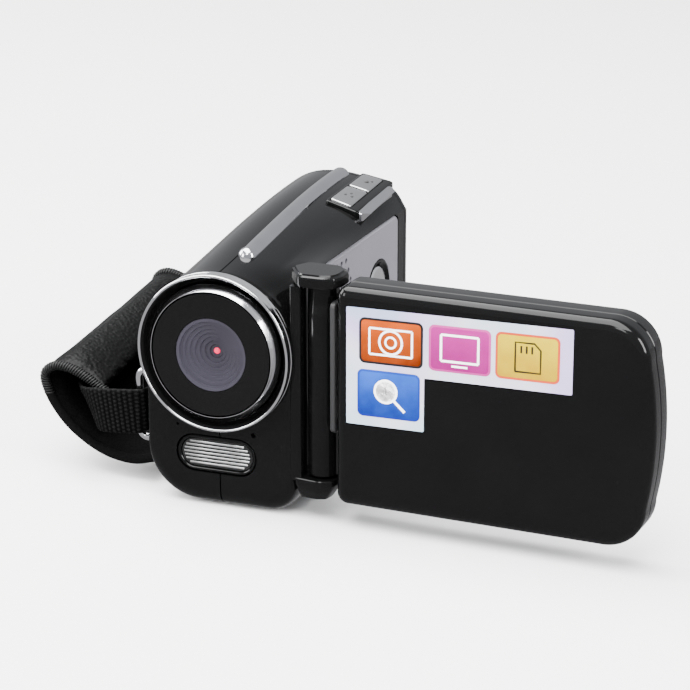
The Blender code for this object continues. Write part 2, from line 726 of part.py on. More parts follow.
def column_outline():
    """Round at the back, flat towards the front and towards the panel."""
    outline = []
    for k in range(24):
        angle = 2 * math.pi * k / 24
        x, y = COLUMN_R * math.cos(angle), COLUMN_R * math.sin(angle)
        outline.append((min(x, PLATE_IN[0] - GAP), max(y, -4.5)))
    return list(dict.fromkeys(outline))


def lcd_outline(inset):
    """Small corners at the hinge, wide ones and a slight bulge at the free end."""
    x0, x1 = LCD_X[0] + inset, LCD_X[1] - inset
    z0, z1 = LCD_Z[0] + inset, LCD_Z[1] - inset
    near, far = max(2.6 - inset, 0.4), max(9.0 - inset, 1.0)
    bulge = 1.6
    outline = arc((x0 + near, z0 + near), near, near, 2, 180, 3)
    outline += arc((x1 - far - bulge, z0 + far), far, far, 2, 270, 6)
    outline.append((x1 - 0.45, z0 + (z1 - z0) * 0.3))
    outline.append((x1, (z0 + z1) / 2))
    outline.append((x1 - 0.45, z0 + (z1 - z0) * 0.7))
    outline += arc((x1 - far - bulge, z1 - far), far, far, 2, 0, 6)
    outline += arc((x0 + near, z1 - near), near, near, 2, 90, 3)
    return outline


def lcd_rings(levels):
    """Rings of the panel's outline at (y, inset) pairs."""
    return [[(x, y, z) for x, z in lcd_outline(inset)] for y, inset in levels]


def make_screen_panel(arm):
    out, back = LCD_Y
    cover_levels = [(out, 2.6), (out + 0.35, 1.3), (out + 1.1, 0.45), (out + 2.2, 0.0), (LCD_SPLIT, 0.0)]
    cover = loft("screen_cover", lcd_rings(cover_levels), gloss_black(), (0, 0, 0), arm)
    hollow = loft("cover_hollow", lcd_rings([(out + 1.5, 2.6), (LCD_SPLIT + 1, 1.6)]), steel(), (0, 0, 0), arm)
    frame_levels = [(LCD_SPLIT + GAP, 0.0), (back - 1.6, 0.0), (back - 0.5, 0.4), (back, 1.4)]
    frame = loft("screen_frame", lcd_rings(frame_levels), gloss_black(), (0, 0, 0), arm)
    inside = lcd_rings([(LCD_SPLIT - 1, 1.6), (back - 1.5, 1.6)])
    frame_hollow = loft("frame_hollow", inside, steel(), (0, 0, 0), arm)
    shaft_hole = disc("panel_shaft_hole", (TILT_Y, TILT_Z), "X", 4, 11, SHAFT_R + 0.08, steel(), 20, arm)
    z_mid = (LCD_Z[0] + LCD_Z[1]) / 2
    half_w, half_h = SCREEN_W / 2 + 1.5, SCREEN_H / 2 + 1.2
    opening = rounded(SCREEN_X - half_w, z_mid - half_h, SCREEN_X + half_w, z_mid + half_h, 1.0, 2)
    window = prism("screen_window", opening, "Y", 1, 8, steel(), (0, 0, 0), arm)
    for tool in (hollow, frame_hollow, shaft_hole, window):
        helper(tool)
    cut(cover, hollow, shaft_hole)
    cut(frame, frame_hollow, shaft_hole, window)
    glass = rounded(
        SCREEN_X - half_w + GAP, z_mid - half_h + GAP, SCREEN_X + half_w - GAP, z_mid + half_h - GAP, 0.8, 2
    )
    prism("screen_glass", glass, "Y", back - 1.4, back - 0.3, dark_glass(), (0, 0, 0), arm)
    module = rectangle(SCREEN_X - half_w - 1, z_mid - half_h - 0.8, SCREEN_X + half_w + 1, z_mid + half_h + 0.8)
    prism("display_module", module, "Y", back - 4.3, back - 1.8, silver(), (0, 0, 0), arm)
    plain = [(8.0, 24.9), (26.0, 24.9), (26.0, 37.0), (59.0, 37.0), (59.0, 51.2), (8.0, 51.2)]
    slope = math.tan(math.radians(LABEL_SLOPE_DEG))
    label = [(x, z + (x - plain[0][0]) * slope) for x, z in plain]
    paper = material("label_paper", (0.75, 0.74, 0.8), 0.3)
    prism("screen_label", label, "Y", out - GAP - 0.1, out - GAP, paper, (0, 0, 0), arm)


def pad_line():
    """The pad's outer line seen from the front, from the lower edge round the tip to the upper edge."""
    return [
        (-20.6, 4.2),
        (-27.0, 2.9),
        (-34.9, 4.4),
        (-42.6, 9.0),
        (-47.6, 14.7),
        (-50.0, 20.0),
        (-49.8, 23.3),
        (-47.4, 25.4),
        (-44.0, 25.9),
        (-39.2, 24.6),
        (-33.0, 21.1),
    ]


def offset_line(line, distance):
    """The line moved to its left by distance."""
    moved = []
    for i, point in enumerate(line):
        before = line[max(i - 1, 0)]
        after = line[min(i + 1, len(line) - 1)]
        along = Vector((after[0] - before[0], after[1] - before[1])).normalized()
        moved.append((point[0] - along.y * distance, point[1] + along.x * distance))
    return moved


def make_pad():
    outer = pad_line()
    rings = []
    for y, shrink in ((PAD_Y[0], 0.5), (PAD_Y[0] + 0.8, 0.0), (PAD_Y[1] - 0.8, 0.0), (PAD_Y[1], 0.5)):
        section = offset_line(outer, -shrink) + offset_line(outer, -PAD_THICK + shrink)[::-1]
        share = (y - PAD_Y[0]) / (PAD_Y[1] - PAD_Y[0])
        tuck = STRAP_TUCK * share
        rings.append([(x + tuck * (-x - 20) / 30, y, z + STRAP_RISE * share) for x, z in section])
    return loft("strap_pad", rings, leather())


def band_route():
    """Middle of the webbing as (x, y, z, lean in degrees), from the front ring to the rear ring."""
    front = [(-19.5, -30.2, 19.6, 0), (-19.4, -32.0, 19.6, 0), (-20.2, -33.6, 19.5, 0)]
    front += [(-22.2, -34.2, 19.4, 0), (-26.5, -34.0, 18.9, 3), (-31.0, -32.8, 18.2, 8)]
    front += [(-34.4, -30.0, 17.2, 19), (-37.2, -25.0, 16.3, 32), (-39.8, -17.0, 15.9, 42)]
    rear = [(-37.4, 20.0, 23.3, 42), (-36.2, 26.6, 24.8, 32), (-33.6, 30.4, 26.0, 19)]
    rear += [(-29.6, 32.6, 27.4, 8), (-25.6, 33.5, 28.3, 3), (-22.2, 33.5, 28.6, 0)]
    rear += [(-20.2, 32.9, 28.6, 0), (-19.4, 31.2, 28.6, 0), (-19.5, 29.4, 28.6, 0)]
    return front + [(-39.6, 1.0, 19.4, 44)] + rear


def make_band():
    route = band_route()
    rings = []
    for i, (x, y, z, lean) in enumerate(route):
        before = Vector(route[max(i - 1, 0)][:3])
        after = Vector(route[min(i + 1, len(route) - 1)][:3])
        along = (after - before).normalized()
        tilt = math.radians(lean)
        up = Vector((-math.sin(tilt), 0, math.cos(tilt)))
        side = along.cross(up).normalized() * BAND_THICK / 2
        up = side.cross(along).normalized() * BAND_W / 2
        middle = Vector((x, y, z))
        rings.append([middle - side - up, middle + side - up, middle + side + up, middle - side + up])
    return loft("strap_webbing", rings, webbing())


def ring_loop(name, y, lift):
    """A rectangular wire ring that stands in the X-Z plane."""
    low, high = RING_Z[0] + lift, RING_Z[1] + lift
    outline = rounded(RING_X[0], low, RING_X[1], high, 1.8, 4)
    middle = Vector(((RING_X[0] + RING_X[1]) / 2, (low + high) / 2))
    points = []
    sides = 8
    for i, point in enumerate(outline):
        before = Vector(outline[i - 1])
        after = Vector(outline[(i + 1) % len(outline)])
        along = (after - before).normalized()
        normal = Vector((along.y, -along.x))
        if normal.dot(Vector(point) - middle) < 0:
            normal = -normal
        for k in range(sides):
            angle = 2 * math.pi * k / sides
            out = math.cos(angle) * RING_BAR
            points.append((point[0] + normal.x * out, y + math.sin(angle) * RING_BAR, point[1] + normal.y * out))
    count = len(outline)
    faces = []
    for i in range(count):
        for k in range(sides):
            a, b = i * sides, (i + 1) % count * sides
            faces.append((a + k, a + (k + 1) % sides, b + (k + 1) % sides, b + k))
    return mesh_object(name, points, faces, chrome(), (RING_X[1], y, 0))


def make_rings():
    """Each ring hangs from a lug inside the left shell, and its outer half stands out of a slot."""
    for place, y, lift in zip(("front", "rear"), RING_YS, (0, STRAP_RISE)):
        ring_loop(f"strap_ring_{place}", y, lift)
        side = RING_BAR + GAP + 0.6
        lug = rectangle(RING_X[1] - side, y - side, RING_X[1] + side, y + side)
        block = prism(f"strap_lug_{place}", lug, "Z", 16.0 + lift, 25.0 + lift, satin_black())
        hole = disc(f"lug_hole_{place}", (RING_X[1], y), "Z", 10, 45, RING_BAR + GAP, steel(), 16)
        cut(block, helper(hole))
        for level in RING_Z:
            z = level + lift
            low = (-HALF_WIDTH - 2, y - RING_BAR - GAP, z - RING_BAR - GAP)
            high = (-HALF_WIDTH + 3, y + RING_BAR + GAP, z + RING_BAR + GAP)
            slot = box(f"ring_slot_{place}_{level}", low, high, steel())
            cut(cutter("left_shell"), helper(slot))


def main():
    clear_scene()
    make_cutters()
    make_shells()
    make_rear_cover()
    make_screws()
    make_rear_buttons()
    make_port_flap()
    make_lens()
    make_lamp()
    make_top_strip()
    make_top_keys()
    make_side()
    make_underside()
    make_inside()
    arm = lcd_frame_empty()
    make_hinge(arm)
    make_screen_panel(arm)
    make_pad()
    make_band()
    make_rings()


main()
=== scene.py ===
"""A pocket camcorder, standing on a pale table with its screen folded out.

Sizes in the sections are millimetres, measured in the camcorder's own frame: +X is the screen's side, -Y is
where the lens looks, +Z is up, and the middle of the flat underside is the origin.
"""

import json
import math

import bmesh
import bpy
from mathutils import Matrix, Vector, noise
from mathutils.kdtree import KDTree


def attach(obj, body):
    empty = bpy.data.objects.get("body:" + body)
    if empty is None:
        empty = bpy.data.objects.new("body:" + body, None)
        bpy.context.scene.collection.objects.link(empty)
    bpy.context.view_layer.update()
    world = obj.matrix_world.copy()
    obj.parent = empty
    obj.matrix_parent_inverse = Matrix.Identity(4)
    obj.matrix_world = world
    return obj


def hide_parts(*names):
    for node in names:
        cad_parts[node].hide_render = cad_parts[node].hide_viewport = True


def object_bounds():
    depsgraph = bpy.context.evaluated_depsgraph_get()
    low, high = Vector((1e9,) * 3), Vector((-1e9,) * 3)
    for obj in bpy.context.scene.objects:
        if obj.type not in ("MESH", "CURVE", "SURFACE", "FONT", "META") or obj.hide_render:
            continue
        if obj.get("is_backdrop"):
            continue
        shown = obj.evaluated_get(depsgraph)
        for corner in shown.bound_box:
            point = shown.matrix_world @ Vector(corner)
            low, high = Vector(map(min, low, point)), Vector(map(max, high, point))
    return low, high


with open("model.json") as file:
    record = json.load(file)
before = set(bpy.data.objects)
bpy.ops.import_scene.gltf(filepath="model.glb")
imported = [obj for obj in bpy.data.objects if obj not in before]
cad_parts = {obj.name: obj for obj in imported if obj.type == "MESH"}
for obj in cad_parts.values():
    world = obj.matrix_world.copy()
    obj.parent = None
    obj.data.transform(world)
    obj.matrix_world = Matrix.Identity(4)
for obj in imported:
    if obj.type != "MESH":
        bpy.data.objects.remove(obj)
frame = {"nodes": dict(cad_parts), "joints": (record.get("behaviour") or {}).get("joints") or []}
cad_low, cad_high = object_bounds()

# The viewpoint: a long lens on a stand in front of the camcorder, a little to the screen's side and above it.
MM = 0.001
VIEW_TURN = math.radians(21.23)
VIEW_RISE = math.radians(17.81)
VIEW_REACH = 540.0
AIM = (27.17, -28.9, 39.26)
SENSOR_MM = 36.0
FOCAL_MM = 128.97
view_back = Vector(
    (
        math.sin(VIEW_TURN) * math.cos(VIEW_RISE),
        -math.cos(VIEW_TURN) * math.cos(VIEW_RISE),
        math.sin(VIEW_RISE),
    )
)
camera = bpy.data.objects.new("camera", bpy.data.cameras.new("camera"))
camera.data.sensor_width = SENSOR_MM
camera.data.lens = FOCAL_MM
camera.data.clip_start = 0.01
camera.location = (Vector(AIM) + view_back * VIEW_REACH) * MM
camera.rotation_mode = "QUATERNION"
camera.rotation_quaternion = (-view_back).to_track_quat("-Z", "Y")
bpy.context.scene.collection.objects.link(camera)
bpy.context.scene.camera = camera


# The table and the light: a wide white sheet under a large overhead softbox, with one lower softbox on each
# side. The softboxes are what the polished plastic and the chrome reflect.
class Wire:
    """One socket of a node tree, so that maths on it is written as an expression."""

    def __init__(self, tree, socket=None):
        self.tree = tree
        self.socket = socket

    def node(self, kind, settings=None, links=None, out=0):
        """A new node: its settings first, then the values or wires of its sockets."""
        made = self.tree.nodes.new(kind)
        for key, value in (settings or {}).items():
            if key != "stops":
                setattr(made, key, value)
                continue
            ramp = made.color_ramp
            while len(ramp.elements) < len(value):
                ramp.elements.new(0.5)
            for element, (place, colour) in zip(ramp.elements, value):
                element.position = place
                element.color = (*colour, 1.0)
        for key, value in (links or {}).items():
            if isinstance(value, Wire):
                self.tree.links.new(value.socket, made.inputs[key])
            else:
                made.inputs[key].default_value = value
        return Wire(self.tree, made.outputs[out])

    def maths(self, operation, *values):
        return self.node("ShaderNodeMath", {"operation": operation}, dict(enumerate(values)))

    def __add__(self, other):
        return self.maths("ADD", self, other)

    def __sub__(self, other):
        return self.maths("SUBTRACT", self, other)

    def __mul__(self, other):
        return self.maths("MULTIPLY", self, other)

    def __truediv__(self, other):
        return self.maths("DIVIDE", self, other)

    def __pow__(self, other):
        return self.maths("POWER", self, other)

    def __radd__(self, other):
        return self.maths("ADD", other, self)

    def __rsub__(self, other):
        return self.maths("SUBTRACT", other, self)

    def __rmul__(self, other):
        return self.maths("MULTIPLY", other, self)

    def to(self, target):
        """Joins this socket to a shader's input."""
        self.tree.links.new(self.socket, target)


def blend_colours(factor, first, second):
    """Two colours mixed by a wire; each may be a wire or a plain colour."""
    links = {0: factor, 6: first, 7: second}
    for key in (6, 7):
        if not isinstance(links[key], Wire):
            links[key] = (*links[key], 1.0)
    return factor.node("ShaderNodeMix", {"data_type": "RGBA"}, links, out=2)


def blank(name, roughness, metallic=0.0, **fixed):
    """A material with its constant values set; returns it, its shader's inputs and its object coordinates."""
    surface = bpy.data.materials.new(name)
    surface.use_nodes = True
    inputs = surface.node_tree.nodes["Principled BSDF"].inputs
    inputs["Roughness"].default_value = roughness
    inputs["Metallic"].default_value = metallic
    for key, value in fixed.items():
        inputs[key.replace("_", " ")].default_value = value
    place = Wire(surface.node_tree).node("ShaderNodeTexCoord", out="Object")
    return surface, inputs, place


def noise_at(place, per_metre, detail=2.0):
    return place.node("ShaderNodeTexNoise", None, {"Vector": place, "Scale": per_metre, "Detail": detail})


def bump_into(inputs, height, depth_mm, strength=1.0):
    """Relief of this depth on the shader's normal."""
    links = {"Height": height, "Distance": depth_mm * MM, "Strength": strength}
    height.node("ShaderNodeBump", None, links).to(inputs["Normal"])


def table_sheet():
    surface, inputs, place = blank("table_sheet", 0.55, Specular_IOR_Level=0.25)
    cloud = noise_at(place, 3.0)
    blend_colours(cloud, (0.93, 0.925, 0.92), (0.95, 0.945, 0.94)).to(inputs["Base Color"])
    return surface


def dim_card():
    """What polished faces see in place of the white sheet: a dim grey card, so that black stays black."""
    surface, inputs, place = blank("dim_card", 1.0, Specular_IOR_Level=0.0, Emission_Strength=1.0)
    cloud = noise_at(place, 2.0)
    blend_colours(cloud, (0.0, 0.0, 0.0), (0.01, 0.01, 0.01)).to(inputs["Base Color"])
    blend_colours(cloud, (0.48, 0.47, 0.49), (0.58, 0.57, 0.58)).to(inputs["Emission Color"])
    return surface


def flat_sheet(name, half, drop, surface):
    mesh = bpy.data.meshes.new(name)
    corners = [(-half, -half, 0), (half, -half, 0), (half, half, 0), (-half, half, 0)]
    mesh.from_pydata(corners, [], [(0, 1, 2, 3)])
    mesh.materials.append(surface)
    sheet = bpy.data.objects.new(name, mesh)
    sheet.location.z = -drop
    bpy.context.scene.collection.objects.link(sheet)
    sheet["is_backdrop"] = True
    return sheet


SHEET_HALF = 6.0
flat_sheet("table", SHEET_HALF, 0.0002, table_sheet()).visible_glossy = False
card = flat_sheet("card", SHEET_HALF, 0.0004, dim_card())
card.visible_camera = card.visible_diffuse = card.visible_shadow = card.visible_transmission = False


def softbox(name, place, aim, width, height, watts, colour=(1, 1, 1)):
    lamp = bpy.data.objects.new(name, bpy.data.lights.new(name, "AREA"))
    lamp.data.shape = "RECTANGLE"
    lamp.data.size = width
    lamp.data.size_y = height
    lamp.data.energy = watts
    lamp.data.color = colour
    lamp.location = place
    away = Vector(place) - Vector(aim)
    lamp.rotation_mode = "QUATERNION"
    lamp.rotation_quaternion = away.to_track_quat("Z", "Y")
    bpy.context.scene.collection.objects.link(lamp)


softbox("overhead", (-0.2, -0.2, 1.2), (0, 0, 0), 1.9, 1.1, 105)
softbox("left_side", (-1.1, -0.1, 0.55), (0, 0, 0.03), 0.7, 0.6, 24)
softbox("right_side", (1.05, -0.35, 0.5), (0.03, 0, 0.03), 0.35, 0.6, 20)
softbox("front_fill", (0.1, -1.6, 1.2), (0, 0, 0.03), 0.6, 0.3, 10)
softbox("front_left", (-0.85, -1.0, 0.5), (0, 0, 0.03), 0.4, 0.5, 9)
world = bpy.data.worlds.new("studio")
world.use_nodes = True
world.node_tree.nodes["Background"].inputs["Color"].default_value = (0.9, 0.92, 0.95, 1)
world.node_tree.nodes["Background"].inputs["Strength"].default_value = 0.8
bpy.context.scene.world = world


# The case: two polished black mouldings of ABS that meet on a seam down the middle, with a round nose for the
# lens, a square shoulder over the side panel and a crease along the top. They are screwed on from behind.
GAP = 0.3
AXIS_Z = 37.1
FRONT_Y = -36.0
SKIN_END_Y = 34.0
REAR_Y = 37.5
HALF_WIDTH = 18.0
TOP_FRONT = 17.4
TOP_RISE = 6.9
SHOULDER_Z = 16.9
CORNER_LEFT = 12.0
CORNER_RIGHT = 7.0
WALL = 1.6
FRONT_ROUND = 1.6
CHIN_ROUND = 5.0
LIP_R = 15.6
PANEL_Y = (-20.8, 29.7)
PANEL_Z = (8.0, 53.4)
LAMP_X, LAMP_Z = -0.9, 12.3
LAMP_W, LAMP_H = 17.2, 6.5
MIC_PLACES = ((8.2, 18.1, 0.6), (-10.2, 18.6, 0.3))
KEY_X = (7.4, 12.4)
KEY_YS = ((12.6, 23.6), (24.5, 34.2))
BASE_X = (-5.5, 10.5)
BASE_Y = (-29.0, 6.0)
DOOR_Y = (6.4, 36.9)
RING_Z = (12.9, 28.9)
RING_X = (-21.4, -14.6)
RING_BAR = 0.85
RING_YS = (-32.0, 31.2)
STRAP_RISE = 9.0


def shape(name, points, faces, surface, sharp=30):
    """A piece at the origin from points in millimetres, shaded smooth up to the sharp angle."""
    form = bmesh.new()
    made = [form.verts.new(Vector(p) * MM) for p in points]
    for face in faces:
        form.faces.new([made[i] for i in face])
    bmesh.ops.remove_doubles(form, verts=form.verts, dist=2e-7)
    bmesh.ops.dissolve_degenerate(form, dist=1e-7, edges=form.edges)
    bmesh.ops.recalc_face_normals(form, faces=form.faces)
    bmesh.ops.triangulate(form, faces=form.faces)
    mesh = bpy.data.meshes.new(name)
    form.to_mesh(mesh)
    form.free()
    if surface:
        mesh.materials.append(surface)
    mesh.shade_smooth()
    mesh.set_sharp_from_angle(angle=math.radians(sharp))
    piece = bpy.data.objects.new(name, mesh)
    bpy.context.scene.collection.objects.link(piece)
    return piece


def loft(name, rings, surface, sharp=30):
    """Rings of equal length joined side to side, closed at both ends."""
    count = len(rings[0])
    faces = [tuple(range(count)), tuple(range((len(rings) - 1) * count, len(rings) * count))]
    for k in range(len(rings) - 1):
        for i in range(count):
            j = (i + 1) % count
            faces.append((k * count + i, k * count + j, (k + 1) * count + j, (k + 1) * count + i))
    return shape(name, [p for ring in rings for p in ring], faces, surface, sharp)


def in_space(axis, u, v, along):
    """A point from its place along an axis and its two other coordinates, in X, Y, Z order."""
    places = {"X": (along, u, v), "Y": (u, along, v), "Z": (u, v, along)}
    return places[axis]


def prism(name, outline, axis, low, high, surface=None, sharp=30):
    rings = [[in_space(axis, u, v, s) for u, v in outline] for s in (low, high)]
    return loft(name, rings, surface, sharp)


def turned(name, profile, centre, axis, surface=None, steps=96, sharp=30):
    """A closed outline of (radius, place along the axis) turned about the line through centre."""
    points = []
    for k in range(steps):
        angle = 2 * math.pi * k / steps
        for radius, along in profile:
            u = centre[0] + radius * math.cos(angle)
            v = centre[1] + radius * math.sin(angle)
            points.append(in_space(axis, u, v, along))
    count = len(profile)
    faces = []
    for k in range(steps):
        after = (k + 1) % steps
        for i in range(count):
            j = (i + 1) % count
            if profile[i][0] or profile[j][0]:
                faces.append((k * count + i, k * count + j, after * count + j, after * count + i))
    return shape(name, points, faces, surface, sharp)


def disc(name, centre, axis, low, high, radius, steps=48):
    return turned(name, [(0, low), (radius, low), (radius, high), (0, high)], centre, axis, None, steps)


def rectangle(u0, v0, u1, v1):
    return [(u0, v0), (u1, v0), (u1, v1), (u0, v1)]


def softened(outline, radius, steps=4):
    """A closed outline with each corner rounded; a corner on a turning axis stays."""
    soft = []
    count = len(outline)
    for i, corner in enumerate(outline):
        here = Vector(corner)
        if len(corner) == 2 and corner[0] == 0:
            soft.append(corner)
            continue
        ends = []
        for other in (outline[i - 1], outline[(i + 1) % count]):
            step = Vector(other) - here
            reach = min(radius, step.length * 0.45)
            ends.append(here + step.normalized() * reach)
        for k in range(steps + 1):
            t = k / steps
            soft.append(tuple(ends[0] * (1 - t) ** 2 + here * (2 * t * (1 - t)) + ends[1] * t**2))
    return soft


def rounded(u0, v0, u1, v1, radius, steps=8):
    """A rectangle with true round corners."""
    centres = ((u1 - radius, v0 + radius), (u1 - radius, v1 - radius))
    centres += ((u0 + radius, v1 - radius), (u0 + radius, v0 + radius))
    outline = []
    for quarter, (cu, cv) in enumerate(centres):
        for k in range(steps + 1):
            angle = math.pi / 2 * (quarter - 1 + k / steps)
            outline.append((cu + radius * math.cos(angle), cv + radius * math.sin(angle)))
    return outline


def spline(points, per_span):
    """A smooth open curve through the points, as Catmull and Rom draw it."""
    ends = [Vector(points[0]) * 2 - Vector(points[1])]
    known = ends + [Vector(p) for p in points] + [Vector(points[-1]) * 2 - Vector(points[-2])]
    found = []
    for k in range(1, len(known) - 2):
        a, b, c, d = known[k - 1 : k + 3]
        for i in range(per_span):
            t = i / per_span
            curve = b * 2 + (c - a) * t + (a * 2 - b * 5 + c * 4 - d) * t**2
            found.append((curve + (b * 3 - a - c * 3 + d) * t**3) * 0.5)
    found.append(known[-2])
    return [tuple(p) for p in found]


def carve(piece, *tools, operation="DIFFERENCE"):
    """Cuts the tools out of the piece, one after the other, and keeps what is left."""
    for tool in tools:
        modifier = piece.modifiers.new(tool.name, "BOOLEAN")
        modifier.operation = operation
        modifier.solver = "EXACT"
        modifier.object = tool
    bpy.context.view_layer.update()
    graph = bpy.context.evaluated_depsgraph_get()
    result = bpy.data.meshes.new_from_object(piece.evaluated_get(graph))
    piece.modifiers.clear()
    piece.data = result
    return piece


def scrap(*tools):
    for tool in tools:
        bpy.data.objects.remove(tool)


def fit(piece, body, slot, *nodes):
    """The finished piece rides on its body and stands for its nodes; the slot is not used."""
    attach(piece, body)
    if nodes:
        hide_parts(*nodes)
    return piece


def ease(low, high, value):
    """0 below low, 1 above high and smooth between them."""
    share = min(max((value - low) / (high - low), 0), 1)
    return share * share * (3 - 2 * share)


def top_height(y):
    """How far the case's top lies above the lens axis at y."""
    share = min(max((y - FRONT_Y) / (REAR_Y - FRONT_Y + 0.5), 0), 1)
    return TOP_FRONT + TOP_RISE * math.sin(math.pi / 2 * share) ** 1.25


def arc(centre, half_u, half_v, power, start, steps):
    """A quarter of a superellipse from start degrees, anticlockwise."""
    found = []
    for k in range(steps + 1):
        angle = math.radians(start + 90 * k / steps)
        c, s = math.cos(angle), math.sin(angle)
        u = centre[0] + half_u * math.copysign(abs(c) ** (2 / power), c)
        v = centre[1] + half_v * math.copysign(abs(s) ** (2 / power), s)
        found.append((u, v))
    return found


def right_shoulder(y, half, top, fine):
    """From the right side up to the top's middle: round at the front, with a square shoulder behind."""
    square = ease(FRONT_Y + 1.5, PANEL_Y[0] + 1, y)
    crease_x = 9.8 + 1.0 * ease(FRONT_Y, FRONT_Y + 10, y) - (HALF_WIDTH - half)
    drop = 2.9 - 1.0 * ease(FRONT_Y, FRONT_Y + 12, y)
    end = math.degrees(math.acos(crease_x / half))
    heights = (0.0, 6.0, 11.5, SHOULDER_Z - 0.9, SHOULDER_Z - 0.1)
    outline = []
    for k, height in enumerate(heights):
        angle = math.radians(end * k / 5)
        round_x, round_z = half * math.cos(angle), half * math.sin(angle)
        edge_x = half - (0.35 if k == 4 else 0.0)
        edge_z = height * (1 - (HALF_WIDTH - half) / SHOULDER_Z)
        outline.append((round_x + (edge_x - round_x) * square, round_z + (edge_z - round_z) * square))
    bulge = 0.9 * ease(-5, 30, y)
    edge = outline[-1]
    outline.append(((edge[0] + crease_x) / 2 + bulge, (edge[1] + top - drop) / 2 + bulge))
    outline.append((crease_x, top - drop))
    outline = spline(outline, fine)
    for k in range(1, 2 * fine + 1):
        x = crease_x * (1 - k / (2 * fine))
        outline.append((x, top - drop * (x / crease_x) ** 2.1))
    return [(x, AXIS_Z + z) for x, z in outline]


def case_section(y, inset, chin=0.0, fine=6):
    """The case's outline at y, drawn in by inset all round and raised by chin at the bottom."""
    share = min(max((y - FRONT_Y) / (REAR_Y - FRONT_Y), 0), 1)
    half = HALF_WIDTH - inset
    top = top_height(y) - inset
    low = inset + chin
    left = max(CORNER_LEFT - inset, 1.0)
    right = max(CORNER_RIGHT - inset, 1.0)
    outline = right_shoulder(y, half, top, fine)
    outline += arc((0, AXIS_Z), half, top, 2 + 0.4 * share, 90, 6 * fine)[1:]
    outline += arc((left - half, low + left), left, left, 2, 180, 2 * fine)
    outline += arc((half - right, low + right), right, right, 2, 270, 2 * fine)
    return [(x, y, z) for x, z in outline]


def quarter_round(depth, radius):
    """How far a rounded edge of this radius is drawn in at a depth behind its front."""
    inside = max(radius - depth, 0)
    return radius - math.sqrt(max(radius**2 - inside**2, 0))


def case_form(name, grow, front, rear, surface=None, fine=6):
    """The case's outer form, closed at both ends; grow widens it all round."""
    steps = [CHIN_ROUND * (1 - math.cos(math.pi / 2 * k / 14)) for k in range(15)]
    steps += [7 + 2.6 * k for k in range(26)]
    stations = [front] + [FRONT_Y + s for s in steps if front < FRONT_Y + s < rear] + [rear]
    rings = []
    for y in stations:
        depth = max(y - FRONT_Y, 0)
        side = quarter_round(depth, FRONT_ROUND) * 0.8
        chin = quarter_round(depth, CHIN_ROUND) * 0.6
        rings.append(case_section(y, side - grow, chin, fine))
    return loft(name, rings, surface, 17)


def lamp_outline(grow):
    low = (LAMP_X - LAMP_W / 2 - grow, LAMP_Z - LAMP_H / 2 - grow)
    high = (LAMP_X + LAMP_W / 2 + grow, LAMP_Z + LAMP_H / 2 + grow)
    return rounded(*low, *high, LAMP_H / 2 + grow, 12)


def polished_plastic(name, colour, roughness=0.09):
    """Black plastic with a moulded gloss: a faint waviness and a little settled dust."""
    surface, inputs, place = blank(name, roughness, Specular_IOR_Level=0.2, IOR=1.47)
    cloud = noise_at(place, 60.0, 3.0)
    fine = noise_at(place, 2600.0, 3.0)
    dust = fine.maths("GREATER_THAN", fine, 0.74) * cloud
    pale = tuple(c + 0.006 for c in colour)
    blend_colours(dust + cloud * 0.2, colour, pale).to(inputs["Base Color"])
    (cloud * 0.05 + dust * 0.2 + (roughness - 0.02)).to(inputs["Roughness"])
    bump_into(inputs, noise_at(place, 420.0, 1.0), 0.004)
    return surface


case_black = polished_plastic("case_black", (0.0016, 0.0016, 0.0017))
tools = {
    "cavity": case_form("cavity", -WALL, FRONT_Y + WALL, REAR_Y, fine=3),
    "lens_bore": disc("lens_bore", (0, AXIS_Z), "Y", FRONT_Y - 3, FRONT_Y + 4, LIP_R + GAP, 96),
    "lamp_hole": prism("lamp_hole", lamp_outline(1.2), "Y", FRONT_Y - 3, FRONT_Y + 4),
}
base_area = rectangle(BASE_X[0] - GAP, BASE_Y[0] - GAP, BASE_X[1] + GAP, DOOR_Y[1] + 3)
tools["base_window"] = prism("base_window", base_area, "Z", -2, 4)
panel_area = rounded(PANEL_Y[0] - GAP, PANEL_Z[0] - GAP, PANEL_Y[1] + GAP, PANEL_Z[1] + GAP, 2.0, 6)
panel_window = prism("panel_window", panel_area, "X", 6, 30)
key_area = rectangle(KEY_X[0] - GAP, KEY_YS[0][0] - GAP, KEY_X[1] + GAP, KEY_YS[1][1] + GAP)
key_well = prism("key_well", key_area, "Z", 50, 66)
halves = {"left": (-60, -GAP / 2), "right": (GAP / 2, 60)}
for side, (x0, x1) in halves.items():
    shell = case_form(f"case_{side}_half", 0, FRONT_Y, SKIN_END_Y, case_black)
    keep = prism("keep", rectangle(x0, -60, x1, 60), "Z", -5, 80)
    carve(shell, keep, operation="INTERSECT")
    carve(shell, *tools.values())
    own = [keep]
    if side == "right":
        carve(shell, panel_window, key_well)
    for x, z, radius in MIC_PLACES:
        if x0 < x < x1:
            hole = disc("mic_hole", (x, z), "Y", FRONT_Y - 3, FRONT_Y + 4, radius, 24)
            carve(shell, hole)
            own.append(hole)
    if side == "left":
        for y, lift in zip(RING_YS, (0, STRAP_RISE)):
            for level in RING_Z:
                reach = RING_BAR + GAP
                area = rounded(y - reach, level + lift - reach, y + reach, level + lift + reach, reach - 0.1)
                slot_tool = prism("ring_slot", area, "X", -HALF_WIDTH - 2, -HALF_WIDTH + 3)
                carve(shell, slot_tool)
                own.append(slot_tool)
    scrap(*own)
    shell.data.set_sharp_from_angle(angle=math.radians(17))
    fit(shell, "body", "gloss_black", f"{side}_shell")
scrap(panel_window, tools.pop("cavity"), tools.pop("lens_bore"), tools.pop("lamp_hole"))


